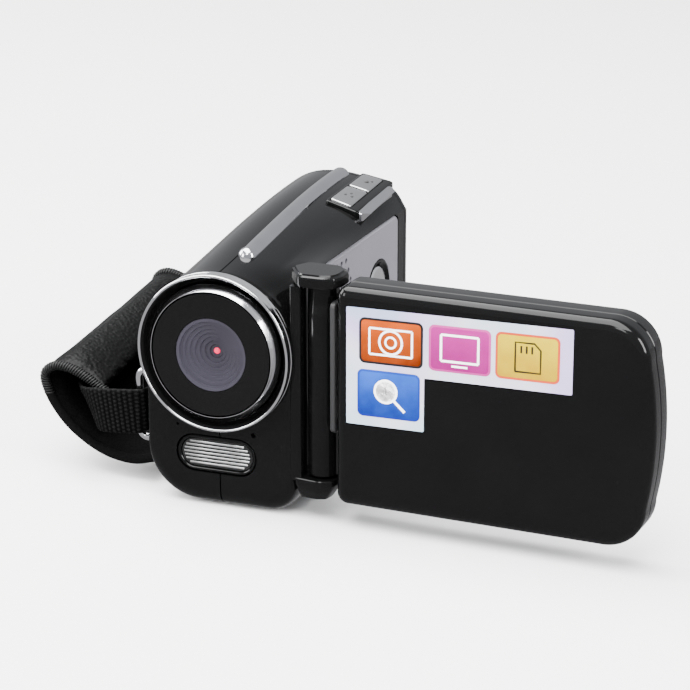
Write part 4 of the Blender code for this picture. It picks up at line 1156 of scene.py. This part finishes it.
def lcd_rings(levels):
    return swung([[(x, y, z) for x, z in lcd_outline(inset)] for y, inset in levels])


out, back = LCD_Y
roll = []
for k in range(13):
    turn = math.pi / 2 * k / 12
    roll.append((out + 2.2 - 2.2 * math.sin(turn), 2.6 * (1 - math.cos(turn))))
cover_levels = [(LCD_SPLIT - 0.12, 0.14), (LCD_SPLIT - 0.3, 0.0)] + roll + [(out, 4.0)]
cover = loft("screen_cover_moulding", lcd_rings(cover_levels), case_black, 24)
hollow = loft("cover_hollow", lcd_rings([(out + 1.5, 2.6), (LCD_SPLIT + 1, 1.6)]), None)
carve(cover, hollow, socket)
cover.data.set_sharp_from_angle(angle=math.radians(24))
fit(cover, "screen_panel", "gloss_black", "screen_cover")
frame_levels = [(LCD_SPLIT + 0.15, 0.14), (LCD_SPLIT + 0.33, 0.0), (back - 1.6, 0.0)]
for k in range(1, 9):
    turn = math.pi / 2 * k / 8
    frame_levels.append((back - 1.6 + 1.6 * math.sin(turn), 1.4 * (1 - math.cos(turn))))
screen_frame = loft("screen_frame_moulding", lcd_rings(frame_levels), case_black, 24)
inside = loft("frame_hollow", lcd_rings([(LCD_SPLIT - 1, 1.6), (back - 1.5, 1.6)]), None)
z_mid = (LCD_Z[0] + LCD_Z[1]) / 2
half_w, half_h = SCREEN_W / 2 + 1.5, SCREEN_H / 2 + 1.2
opening = rounded(SCREEN_X - half_w, z_mid - half_h, SCREEN_X + half_w, z_mid + half_h, 1.0)
window_tool = loft("screen_window", swung([[(x, y, z) for x, z in opening] for y in (1, 8)]), None)
carve(screen_frame, inside, socket, window_tool)
screen_frame.data.set_sharp_from_angle(angle=math.radians(24))
fit(screen_frame, "screen_panel", "gloss_black", "screen_frame")
scrap(hollow, inside, window_tool, socket)


def panel_sheet(name, outline, y_out, y_in, surface, body="screen_panel"):
    """A thin flat piece on the panel's outside, with its outline in the panel's own X and Z."""
    rings = [[(x, y, z) for x, z in outline] for y in (y_in, y_out)]
    return loft(name, swung(rings), surface)


def display_glass():
    """The display behind its clear window: near black, with a faint blue-grey active area."""
    surface, inputs, place = blank("display_glass", 0.05, Specular_IOR_Level=0.6)
    cloud = noise_at(place, 40.0, 1.0)
    blend_colours(cloud, (0.006, 0.007, 0.01), (0.012, 0.014, 0.02)).to(inputs["Base Color"])
    (cloud * 0.03 + 0.04).to(inputs["Roughness"])
    return surface


low_corner = (SCREEN_X - half_w + 0.15, z_mid - half_h + 0.15)
high_corner = (SCREEN_X + half_w - 0.15, z_mid + half_h - 0.15)
edge = rounded(*low_corner, *high_corner, 0.9)
window = panel_sheet("display_window", edge, back - 0.35, back - 1.4, display_glass())
fit(window, "screen_panel", "dark_glass", "screen_glass")


# The label: a pale film with a pearly shine, stuck on the cover, printed with four coloured tiles in thin
# borders. Each tile carries a plain drawn symbol and no words.
LABEL_CORNERS = ((8.0, 24.9), (26.0, 24.9), (26.0, 37.0), (59.0, 37.0), (59.0, 51.2), (8.0, 51.2))
LABEL_SLOPE = math.tan(math.radians(1.3))


def on_label(x, z):
    return (x, z + (x - LABEL_CORNERS[0][0]) * LABEL_SLOPE)


def pearl_film():
    """White film with a thin pearly layer: slow drifts between blue, lilac and cream."""
    shine = {"Specular_IOR_Level": 0.6, "Coat_Weight": 0.4, "Coat_Roughness": 0.06}
    surface, inputs, place = blank("pearl_film", 0.22, **shine)
    drift = noise_at(place, 26.0, 2.0)
    stops = [(0.3, (0.2, 0.34, 0.46)), (0.45, (0.42, 0.34, 0.56))]
    stops += [(0.56, (0.5, 0.5, 0.58)), (0.7, (0.26, 0.44, 0.54))]
    drift.node("ShaderNodeValToRGB", {"stops": stops}, {"Fac": drift}).to(inputs["Base Color"])
    (drift * 0.12 + 0.16).to(inputs["Roughness"])
    return surface


def tile_ink(name, deep, bright, low_z, high_z):
    """Printed ink that runs from its deep colour to its bright one up the tile, with a printed cloud."""
    surface, inputs, place = blank(name, 0.3, Specular_IOR_Level=0.08)
    split = place.node("ShaderNodeSeparateXYZ", None, {"Vector": place}, out=2)
    cloud = noise_at(place, 170.0, 3.0)
    height = (split - low_z * MM) / ((high_z - low_z) * MM)
    share = height * 0.8 + cloud * 0.9 - 0.35
    blend_colours(share.maths("MULTIPLY", share, 1.0), deep, bright).to(inputs["Base Color"])
    (cloud * 0.1 + 0.2).to(inputs["Roughness"])
    return surface


film_outline = softened([on_label(*p) for p in LABEL_CORNERS], 0.35, 4)
film = panel_sheet("label_film", film_outline, out - 0.12, out - 0.01, pearl_film())
fit(film, "screen_panel", "printed_label", "screen_label")
print_line = satin_plastic("print_line", (0.003, 0.0025, 0.0025), 0.5)
print_white = satin_plastic("print_white", (0.8, 0.8, 0.8), 0.4)
TILES = {
    "orange": ((11.0, 39.0, 25.7, 49.2), (0.07, 0.008, 0.0), (0.36, 0.05, 0.0), print_line),
    "pink": ((27.0, 39.0, 41.0, 49.2), (0.17, 0.004, 0.09), (0.3, 0.01, 0.17), None),
    "yellow": ((42.0, 39.0, 56.2, 49.2), (0.3, 0.17, 0.0), (0.46, 0.34, 0.0), "red"),
    "blue": ((10.6, 27.0, 25.1, 37.6), (0.002, 0.008, 0.11), (0.012, 0.07, 0.38), None),
}
border_red = satin_plastic("border_red", (0.34, 0.03, 0.003), 0.3)
LIFT = 0.03
for name, ((x0, z0, x1, z1), deep, bright, border) in TILES.items():
    if name == "pink":
        ring_ink = tile_ink("pink_border", (0.3, 0.02, 0.16), (0.4, 0.04, 0.22), z0, z1)
    elif name == "blue":
        ring_ink = tile_ink("blue_border", (0.004, 0.01, 0.16), (0.01, 0.04, 0.26), z0, z1)
    else:
        ring_ink = border_red if border == "red" else border
    outer = [on_label(x, z) for x, z in rounded(x0, z0, x1, z1, 1.3)]
    back_tile = panel_sheet(f"tile_{name}_border", outer, out - 0.12 - LIFT, out - 0.11, ring_ink)
    fit(back_tile, "screen_panel", "printed_label")
    inner = [on_label(x, z) for x, z in rounded(x0 + 0.5, z0 + 0.5, x1 - 0.5, z1 - 0.5, 0.9)]
    ink = tile_ink(f"{name}_ink", deep, bright, z0, z1)
    tile = panel_sheet(f"tile_{name}", inner, out - 0.12 - 2 * LIFT, out - 0.12, ink)
    fit(tile, "screen_panel", "printed_label")


def stroke(points, width):
    """An open line of points as a flat closed outline of this width."""
    left, right = [], []
    for i, p in enumerate(points):
        a = Vector(points[max(i - 1, 0)])
        b = Vector(points[min(i + 1, len(points) - 1)])
        along = (b - a).normalized()
        side = Vector((-along.y, along.x)) * width / 2
        left.append(tuple(Vector(p) + side))
        right.append(tuple(Vector(p) - side))
    return left + right[::-1]


def ring_line(cx, cz, radius, width, start=0.0, turn=359.0):
    steps = 40
    points = []
    for k in range(steps + 1):
        angle = math.radians(start + turn * k / steps)
        points.append((cx + radius * math.cos(angle), cz + radius * math.sin(angle)))
    return stroke(points, width)


def frame_line(x0, z0, x1, z1, width):
    """A rectangle drawn as four strokes."""
    sides = (((x0, z0), (x1, z0)), ((x1, z0), (x1, z1)), ((x1, z1), (x0, z1)), ((x0, z1), (x0, z0)))
    return [stroke(list(side), width) for side in sides]


symbols = {
    "orange": [ring_line(18.3, 44.1, 2.6, 0.5), ring_line(18.3, 44.1, 1.2, 0.45)]
    + frame_line(13.4, 41.2, 23.2, 47.0, 0.45),
    "pink": frame_line(29.8, 41.4, 38.2, 47.2, 0.5) + [stroke([(32.2, 40.4), (35.8, 40.4)], 0.45)],
    "yellow": [
        stroke([(46.4, 40.9), (46.4, 47.3), (50.6, 47.3), (52.0, 45.9), (52.0, 40.9), (46.3, 40.9)], 0.4),
        stroke([(47.7, 46.6), (47.7, 45.0)], 0.4),
        stroke([(48.9, 46.6), (48.9, 45.0)], 0.4),
        stroke([(50.1, 46.6), (50.1, 45.0)], 0.4),
    ],
    "blue": [ring_line(17.2, 33.0, 2.5, 0.5), stroke([(19.0, 31.2), (21.6, 28.8)], 0.6)]
    + [stroke([(15.9, 33.0), (18.5, 33.0)], 0.4), stroke([(17.2, 31.7), (17.2, 34.3)], 0.4)],
}
for name, marks in symbols.items():
    ink = print_line if name == "yellow" else print_white
    for k, mark in enumerate(marks):
        outline = [on_label(x, z) for x, z in mark]
        piece = panel_sheet(f"symbol_{name}_{k}", outline, out - 0.12 - 3 * LIFT, out - 0.12 - LIFT, ink)
        fit(piece, "screen_panel", "printed_label")


# The strap rings: bent chromed wire, each hung in a lug inside the case and standing out through two slots.
def wire_loop(name, y, lift):
    low, high = RING_Z[0] + lift, RING_Z[1] + lift
    path = rounded(RING_X[0], low, RING_X[1], high, 1.9, 8)
    middle = Vector(((RING_X[0] + RING_X[1]) / 2, (low + high) / 2))
    sides = 20
    points, faces = [], []
    for i, point in enumerate(path):
        along = (Vector(path[(i + 1) % len(path)]) - Vector(path[i - 1])).normalized()
        normal = Vector((along.y, -along.x))
        if normal.dot(Vector(point) - middle) < 0:
            normal = -normal
        for k in range(sides):
            angle = 2 * math.pi * k / sides
            reach = math.cos(angle) * RING_BAR
            rise = math.sin(angle) * RING_BAR
            points.append((point[0] + normal.x * reach, y + rise, point[1] + normal.y * reach))
    for i in range(len(path)):
        for k in range(sides):
            a, b = i * sides, (i + 1) % len(path) * sides
            faces.append((a + k, a + (k + 1) % sides, b + (k + 1) % sides, b + k))
    return shape(name, points, faces, chrome, 60)


for place, y, lift in zip(("front", "rear"), RING_YS, (0, STRAP_RISE)):
    fit(wire_loop(f"strap_wire_{place}", y, lift), "body", "bright_chrome", f"strap_ring_{place}")


# The pad of the hand strap: foam between a grained leatherette outside and a knitted lining, rolled into a
# trough that the back of the hand fills. The foam presses its covers outwards, so the faces swell.
PAD_Y = (-26.5, 28.0)
PAD_THICK = 2.4
STRAP_TUCK = 4.0
PAD_LINE = (
    (-20.6, 4.2),
    (-27.0, 2.9),
    (-34.9, 4.4),
    (-42.6, 9.0),
    (-47.6, 14.7),
    (-50.0, 20.0),
    (-49.8, 23.3),
    (-47.4, 25.4),
    (-44.0, 25.9),
    (-39.2, 24.6),
    (-33.0, 21.1),
)
pad_outer = spline(PAD_LINE, 8)


def beside(line, distance):
    """The line moved to its left by distance."""
    moved = []
    for i, point in enumerate(line):
        a = Vector(line[max(i - 1, 0)])
        b = Vector(line[min(i + 1, len(line) - 1)])
        along = (b - a).normalized()
        moved.append((point[0] - along.y * distance, point[1] + along.x * distance))
    return moved


def leaned(x, y, z):
    """A point of the pad's straight roll, moved as the strap rises and closes in towards the rear."""
    share = (y - PAD_Y[0]) / (PAD_Y[1] - PAD_Y[0])
    return (x + STRAP_TUCK * share * (-x - 20) / 30, y, z + STRAP_RISE * share)


def unleaned(x, y, z):
    """The straight roll's x and z for a point of the leaned one."""
    share = (y - PAD_Y[0]) / (PAD_Y[1] - PAD_Y[0])
    return ((x + STRAP_TUCK * share * 20 / 30) / (1 - STRAP_TUCK * share / 30), z - STRAP_RISE * share)


def leatherette():
    """Grained black leatherette: rounded pebbles with fine creases, dull between and worn on the crowns."""
    surface, inputs, place = blank("leatherette", 0.4, Specular_IOR_Level=0.09)
    warp = noise_at(place, 500.0, 3.0)
    cells = {"Vector": place, "Scale": 1150.0}
    pebbles = place.node("ShaderNodeTexVoronoi", {"feature": "SMOOTH_F1"}, cells)
    fine = noise_at(place, 4200.0, 2.0)
    broad = noise_at(place, 65.0, 2.0)
    height = (1 - pebbles) * 0.75 + warp * 0.35 + fine * 0.12
    tone = broad * 0.5 + height * 0.35
    blend_colours(tone, (0.0003, 0.0003, 0.0003), (0.0012, 0.0012, 0.0012)).to(inputs["Base Color"])
    (broad * 0.1 - height * 0.16 + 0.5).to(inputs["Roughness"])
    bump_into(inputs, height, 0.24, 1.0)
    return surface


def lining_cloth():
    """Knitted nylon lining: fine loops, matt and nearly black."""
    surface, inputs, place = blank("lining_cloth", 0.9, Specular_IOR_Level=0.03)
    loops = place.node("ShaderNodeTexVoronoi", None, {"Vector": place, "Scale": 2100.0})
    tone = loops * 0.6 + noise_at(place, 80.0, 2.0) * 0.4
    blend_colours(tone, (0.0012, 0.0012, 0.0012), (0.0035, 0.0034, 0.0035)).to(inputs["Base Color"])
    bump_into(inputs, loops, 0.12, 0.7)
    return surface


def evaluated(piece):
    """The piece's mesh with its modifiers worked in, as a mesh of its own."""
    bpy.context.view_layer.update()
    return bpy.data.meshes.new_from_object(piece.evaluated_get(bpy.context.evaluated_depsgraph_get()))


def baked(piece):
    """The same piece, its modifiers worked in and gone."""
    mesh = evaluated(piece)
    piece.modifiers.clear()
    piece.data = mesh
    return piece


PAD_SHRINK = 0.3  # how far each face starts inside its final place, before the foam swells
SIM_SCALE = 10.0  # the swelling is worked out at ten times the size, where the cloth solver is steady
SIM_FRAMES = 14  # by now most points have reached the cap below, which sets how far the pad swells
VOXEL = 0.0075
SWELL_CAP = 0.006  # the furthest a point may move, in metres at the simulation's scale
rings = []
for k in range(13):
    y = PAD_Y[0] + 0.5 + (PAD_Y[1] - PAD_Y[0] - 1.0) * k / 12
    inset = PAD_SHRINK + (0.35 if k in (0, 12) else 0.0)
    section = beside(pad_outer, -inset) + beside(pad_outer, inset - PAD_THICK)[::-1]
    rings.append([leaned(x, y, z) for x, z in section])
pad = loft("strap_pad_roll", rings, None, 180)
for vertex in pad.data.vertices:
    vertex.co *= SIM_SCALE
remesh = pad.modifiers.new("voxels", "REMESH")
remesh.mode = "VOXEL"
remesh.voxel_size = VOXEL
baked(pad)
start_places = [v.co.copy() for v in pad.data.vertices]
cloth = pad.modifiers.new("foam", "CLOTH")
cloth.settings.quality = 5
cloth.settings.mass = 0.3
cloth.settings.tension_stiffness = 25
cloth.settings.compression_stiffness = 25
cloth.settings.bending_stiffness = 2.0
cloth.settings.use_pressure = True
cloth.settings.uniform_pressure_force = 4.0
cloth.settings.effector_weights.gravity = 0
cloth.point_cache.frame_start = 1
cloth.point_cache.frame_end = SIM_FRAMES
for moment in range(1, SIM_FRAMES + 1):
    bpy.context.scene.frame_set(moment)
swollen = evaluated(pad)
for vertex, place in zip(swollen.vertices, start_places):
    step = vertex.co - place
    if step.length > SWELL_CAP:
        vertex.co = place + step.normalized() * SWELL_CAP
pad.modifiers.clear()
pad.data = swollen
bpy.context.scene.frame_set(1)
for vertex in pad.data.vertices:
    vertex.co /= SIM_SCALE
smoother = pad.modifiers.new("smooth", "SMOOTH")
smoother.factor = 0.5
smoother.iterations = 5
finer = pad.modifiers.new("finer", "SUBSURF")
finer.levels = finer.render_levels = 1
baked(pad)
pad_skin, pad_lining = leatherette(), lining_cloth()
pad.data.materials.clear()
pad.data.materials.append(pad_skin)
pad.data.materials.append(pad_lining)
outwards = [v.normal.copy() for v in pad.data.vertices]
for vertex, outward in zip(pad.data.vertices, outwards):
    wrinkle = noise.noise(vertex.co * 90) * 0.2 + noise.noise(vertex.co * 260) * 0.05
    vertex.co += outward * wrinkle * MM
sides_tree = KDTree(len(pad_outer) * 2)
for i, (x, z) in enumerate(pad_outer + beside(pad_outer, -PAD_THICK)):
    sides_tree.insert((x, 0, z), i)
sides_tree.balance()
for face in pad.data.polygons:
    x, z = unleaned(*(face.center / MM))
    face.material_index = int(sides_tree.find((x, 0, z))[1] >= len(pad_outer))
pad.data.shade_smooth()
fit(pad, "body", "leatherette", "strap_pad")


# The pad's binding: a strip of the same leatherette folded over each open end of the roll, whipped with
# thread where it turns over the top.
def binding_tree(skin, thread):
    """A soft bead along a line of points, with slanted thread loops round it at an even pitch."""
    tree = bpy.data.node_groups.new("edge_binding", "GeometryNodeTree")
    tree.interface.new_socket("Line", in_out="INPUT", socket_type="NodeSocketGeometry")
    for label in ("Bead", "Pitch", "Thread", "Slant", "Step"):
        tree.interface.new_socket(label, in_out="INPUT", socket_type="NodeSocketFloat")
    tree.interface.new_socket("Geometry", in_out="OUTPUT", socket_type="NodeSocketGeometry")
    wire = Wire(tree)
    line = wire.node("NodeGroupInput")
    bead, pitch, thick, slant, step = (Wire(tree, line.socket.node.outputs[k]) for k in range(1, 6))
    curve = wire.node("GeometryNodeMeshToCurve", None, {"Mesh": line})
    even = wire.node("GeometryNodeResampleCurve", {"mode": "LENGTH"}, {"Curve": curve, "Length": step})
    round_bead = {"Resolution": 16, "Radius": bead}
    circle = wire.node("GeometryNodeCurvePrimitiveCircle", {"mode": "RADIUS"}, round_bead)
    sweep = {"Curve": even, "Profile Curve": circle, "Fill Caps": True}
    tube = wire.node("GeometryNodeCurveToMesh", None, sweep)
    tube = wire.node("GeometryNodeSetShadeSmooth", None, {"Geometry": tube})
    tube = wire.node("GeometryNodeSetMaterial", None, {"Geometry": tube, "Material": skin})
    marks = wire.node("GeometryNodeCurveToPoints", {"mode": "LENGTH"}, {"Curve": curve, "Length": pitch})
    turn = Wire(tree, marks.socket.node.outputs["Rotation"])
    loop_line = {"Resolution": 18, "Radius": bead * 1.03}
    loop_line = wire.node("GeometryNodeCurvePrimitiveCircle", {"mode": "RADIUS"}, loop_line)
    thread_round = {"Resolution": 6, "Radius": thick}
    thread_round = wire.node("GeometryNodeCurvePrimitiveCircle", {"mode": "RADIUS"}, thread_round)
    loop = wire.node("GeometryNodeCurveToMesh", None, {"Curve": loop_line, "Profile Curve": thread_round})
    placed = {"Points": marks, "Instance": loop, "Rotation": turn}
    placed = wire.node("GeometryNodeInstanceOnPoints", None, placed)
    lean = wire.node("ShaderNodeCombineXYZ", None, {"X": slant})
    spin = wire.node("GeometryNodeRotateInstances", None, {"Instances": placed, "Rotation": lean})
    real = wire.node("GeometryNodeRealizeInstances", None, {"Geometry": spin})
    real = wire.node("GeometryNodeSetShadeSmooth", None, {"Geometry": real})
    real = wire.node("GeometryNodeSetMaterial", None, {"Geometry": real, "Material": thread})
    joined = wire.node("GeometryNodeJoinGeometry", None, {"Geometry": tube})
    tree.links.new(real.socket, joined.socket.node.inputs[0])
    joined.to(tree.nodes.new("NodeGroupOutput").inputs[0])
    return tree


def chain(name, points):
    """A line of edges through the points, for a geometry tree to follow."""
    mesh = bpy.data.meshes.new(name)
    mesh.from_pydata([Vector(p) * MM for p in points], [(i, i + 1) for i in range(len(points) - 1)], [])
    line = bpy.data.objects.new(name, mesh)
    bpy.context.scene.collection.objects.link(line)
    return line


WHIPPED_FROM = 36  # the point of the roll's outline where the whipping starts
thread_black = satin_plastic("thread_black", (0.003, 0.003, 0.0032), 0.6, 0.08)
binding = binding_tree(pad_skin, thread_black)
plain_binding = binding_tree(pad_lining, pad_lining)
roll_middle = beside(pad_outer, -PAD_THICK / 2)
for end, y in (("front", PAD_Y[0] + 0.95), ("rear", PAD_Y[1] - 0.95)):
    route = [leaned(x, y, z) for x, z in roll_middle]
    sizes = {"Bead": 1.0 * MM, "Pitch": 0.62 * MM, "Thread": 0.2 * MM, "Slant": 0.35, "Step": 0.4 * MM}
    cord = grown(f"pad_binding_{end}", binding, sizes, chain(f"cord_line_{end}", route[WHIPPED_FROM:]))
    fit(cord, "body", "leatherette")
    sizes = {"Bead": 1.08 * MM, "Pitch": 60 * MM, "Thread": 0.02 * MM, "Slant": 0.0, "Step": 0.8 * MM}
    edge_line = chain(f"edge_line_{end}", route[: WHIPPED_FROM + 1])
    bead = grown(f"pad_edge_{end}", plain_binding, sizes, edge_line)
    fit(bead, "body", "leatherette")


# The strap's webbing: a ribbed woven nylon band, looped through each ring and sewn back on itself. Between
# its two ends it runs through a sleeve of lining cloth inside the pad.
BAND_W = 10.4
BAND_THICK = 1.2
RIB_PITCH = 1.3
PICK_PITCH = 0.95
RELIEF = 0.26
SLEEVE_ROOM = 0.25
band_start = [(-19.5, -30.2, 19.6, 0), (-19.4, -32.0, 19.6, 0), (-20.2, -33.6, 19.5, 0)]
band_start += [(-22.2, -34.2, 19.4, 0), (-26.5, -34.0, 18.9, 3), (-31.0, -32.8, 18.2, 8)]
band_start += [(-34.4, -30.0, 17.2, 19), (-37.2, -25.0, 16.3, 32), (-39.8, -17.0, 15.9, 42)]
band_end = [(-37.4, 20.0, 23.3, 42), (-36.2, 26.6, 24.8, 32), (-33.6, 30.4, 26.0, 19)]
band_end += [(-29.6, 32.6, 27.4, 8), (-25.6, 33.5, 28.3, 3), (-22.2, 33.5, 28.6, 0)]
band_end += [(-20.2, 32.9, 28.6, 0), (-19.4, 31.2, 28.6, 0), (-19.5, 29.4, 28.6, 0)]
band_path = spline(band_start + [(-39.6, 1.0, 19.4, 44)] + band_end, 12)


def woven_nylon():
    """Webbing yarn: black nylon with fine filaments and a slight sheen; painted shade makes it near black in
    the hollows of the weave, with the yarn's colour only on its raised tops.
    """
    surface, inputs, place = blank("woven_nylon", 0.7, Specular_IOR_Level=0.05)
    filaments = noise_at(place, 5200.0, 2.0)
    broad = noise_at(place, 400.0, 2.0)
    tone = filaments * 0.5 + broad * 0.4
    # painted shade: the weave's stored relief height darkens the yarn to near black in the hollows below
    crown = place.node("ShaderNodeAttribute", {"attribute_name": "crown"}, None, 2)
    yarn = blend_colours(tone, (0.0008, 0.0008, 0.0008), (0.009, 0.009, 0.0092))
    blend_colours(crown * crown * 1.4 - 0.15, (0.0003, 0.0003, 0.0003), yarn).to(inputs["Base Color"])
    (filaments * 0.2 + 0.5).to(inputs["Roughness"])
    bump_into(inputs, filaments, 0.05, 0.8)
    return surface


def evenly(path, pitch):
    """The path's points, one for each pitch of its length."""
    found, left = [Vector(path[0])], pitch
    for a, b in zip(path, path[1:]):
        a, b = Vector(a), Vector(b)
        length = (b - a).to_3d().length
        while left <= length:
            found.append(a.lerp(b, left / length))
            left += pitch
        left -= length
    return found


def weave(u, v):
    """Relief of the ribbed weave: ribs across the band, each a row of yarns set off from its neighbour's."""
    rib = abs(math.sin(math.pi * u / RIB_PITCH)) ** 0.7
    shift = 0.5 * (math.floor(u / RIB_PITCH) % 2)
    yarn = 0.5 + 0.5 * math.cos(2 * math.pi * (v / PICK_PITCH + shift))
    return RELIEF * rib * (0.45 + 0.55 * yarn)


def band_form(name, path, thick, room, surface, relief):
    """A strap's body along the path: two faces, rounded edges, and the weave's relief on both."""
    pitch = 0.2 if relief else 1.0
    path = evenly(path, pitch)
    rows = 44 if relief else 6
    points, faces, crowns = [], [], []
    for i, knot in enumerate(path):
        along = (path[min(i + 1, len(path) - 1)] - path[max(i - 1, 0)]).to_3d().normalized()
        tilt = math.radians(knot[3])
        up = Vector((-math.sin(tilt), 0, math.cos(tilt)))
        out = along.cross(up).normalized()
        up = out.cross(along).normalized()
        for face in (1, -1):
            for k in range(rows):
                across = (k / (rows - 1) - 0.5) * face
                edge = math.sqrt(max(1 - (abs(across) * 2) ** 8, 0.0))
                height = thick / 2 + room
                lift = weave(i * pitch, across * BAND_W) if relief else 0.0
                crowns.append(lift / RELIEF)
                if relief:
                    height += lift - RELIEF * 0.8
                spot = knot.to_3d() + up * across * (BAND_W + 2 * room)
                points.append(spot + out * face * height * (0.35 + 0.65 * edge))
    count = rows * 2
    for i in range(len(path) - 1):
        for k in range(count):
            j = (k + 1) % count
            faces.append((i * count + k, i * count + j, (i + 1) * count + j, (i + 1) * count + k))
    faces += [tuple(range(count)), tuple(range((len(path) - 1) * count, len(path) * count))]
    piece = shape(name, points, faces, surface, 60)
    # the relief height of each point, kept for the nylon's painted shade in the weave's hollows
    piece.data.attributes.new("crown", "FLOAT", "POINT").data.foreach_set("value", crowns)
    return piece


nylon = woven_nylon()
split = len(band_path) // 2
in_front = [p for p in band_path[:split] if p[1] < -22.5]
behind = [p for p in band_path[split:] if p[1] > 21.5 or p[0] > -30]
between = [p for p in band_path if -24 < p[1] < 23 and p[0] < -35]
fit(band_form("webbing_front", in_front, BAND_THICK, 0, nylon, True), "body", "webbing", "strap_webbing")
fit(band_form("webbing_rear", behind, BAND_THICK, 0, nylon, True), "body", "webbing")
fit(band_form("webbing_sleeve", between, BAND_THICK, SLEEVE_ROOM, pad_lining, False), "body", "leatherette")


# The pieces whose turned or flat shapes are right as they are: the underside, the screws and the inner works.
# Each gets the finish of its own material.
def brushed_steel(name, colour=(0.42, 0.42, 0.43), roughness=0.3):
    """Rolled steel: long fine scratches one way, with duller patches."""
    surface, inputs, place = blank(name, roughness, 1.0)
    spread = place.node("ShaderNodeMapping", None, {"Vector": place, "Scale": (60.0, 2400.0, 2400.0)})
    scratches = noise_at(spread, 1.0, 3.0)
    patch = noise_at(place, 180.0, 2.0)
    dark = tuple(c * 0.75 for c in colour)
    blend_colours(scratches * 0.6 + patch * 0.4, dark, colour).to(inputs["Base Color"])
    (scratches * 0.15 + patch * 0.1 + (roughness - 0.1)).to(inputs["Roughness"])
    bump_into(inputs, scratches, 0.01)
    return surface


def circuit_board():
    """Solder mask: deep green over lighter copper tracks that run in square steps."""
    surface, inputs, place = blank("circuit_board", 0.35, Specular_IOR_Level=0.5)
    bricks = {"Vector": place, "Scale": 700.0, "Mortar Size": 0.05, "Mortar": (0.02, 0.14, 0.05, 1.0)}
    bricks |= {"Color1": (0.006, 0.055, 0.02, 1.0), "Color2": (0.01, 0.075, 0.03, 1.0)}
    tracks = place.node("ShaderNodeTexBrick", None, bricks)
    tracks.to(inputs["Base Color"])
    (noise_at(place, 300.0) * 0.2 + 0.25).to(inputs["Roughness"])
    bump_into(inputs, Wire(tracks.tree, tracks.socket.node.outputs[1]), 0.03)
    return surface


def shrink_sleeve():
    """The cell's printed sleeve: smooth plastic film in slate blue."""
    surface, inputs, place = blank("shrink_sleeve", 0.3, Coat_Weight=0.3)
    cloud = noise_at(place, 90.0, 2.0)
    blend_colours(cloud, (0.02, 0.05, 0.11), (0.035, 0.08, 0.17)).to(inputs["Base Color"])
    (cloud * 0.15 + 0.22).to(inputs["Roughness"])
    bump_into(inputs, noise_at(place, 500.0), 0.02)
    return surface


def coated_element():
    """The taking lens: dark coated glass."""
    surface, inputs, place = blank("coated_element", 0.05, Coat_Weight=1.0)
    cloud = noise_at(place, 250.0)
    blend_colours(cloud, (0.01, 0.006, 0.03), (0.03, 0.012, 0.05)).to(inputs["Base Color"])
    (cloud * 0.05 + 0.03).to(inputs["Roughness"])
    return surface


steel = brushed_steel("brushed_steel")
finishes = {
    "base_plate": satin_black,
    "battery_door": satin_plastic("door_plastic", (0.011, 0.011, 0.0115), 0.45, 0.28),
    "battery": shrink_sleeve(),
    "battery_contact": brushed_steel("plated_spring", (0.75, 0.72, 0.62), 0.22),
    "tripod_insert": brushed_steel("turned_brass", (0.72, 0.52, 0.22), 0.3),
    "lens_barrel": satin_plastic("barrel_plastic", (0.006, 0.006, 0.006), 0.6, 0.15),
    "lens_element": coated_element(),
    "image_sensor": window_piece.data.materials[0],
    "display_module": brushed_steel("module_tin", (0.5, 0.5, 0.5), 0.35),
    "push_switch": satin_plastic("switch_plastic", (0.03, 0.03, 0.032), 0.4),
}
steel_nodes = ["card_socket", "usb_socket", "hinge_pin", "tilt_shaft", "strap_lug_front", "strap_lug_rear"]
steel_nodes += ["loudspeaker", "microphone"] + [f"case_screw_{k}" for k in (1, 2, 3)]
finishes |= dict.fromkeys(steel_nodes, steel)
boards = ["key_board", "lamp_board", "main_board", "rear_button_board", "sensor_board"]
finishes |= dict.fromkeys(boards, circuit_board())
for node, finish in finishes.items():
    for holder in frame["nodes"][node].material_slots:
        holder.material = finish

size_low, size_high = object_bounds()
sizes = {"cad": [list(cad_low), list(cad_high)], "visual": [list(size_low), list(size_high)]}
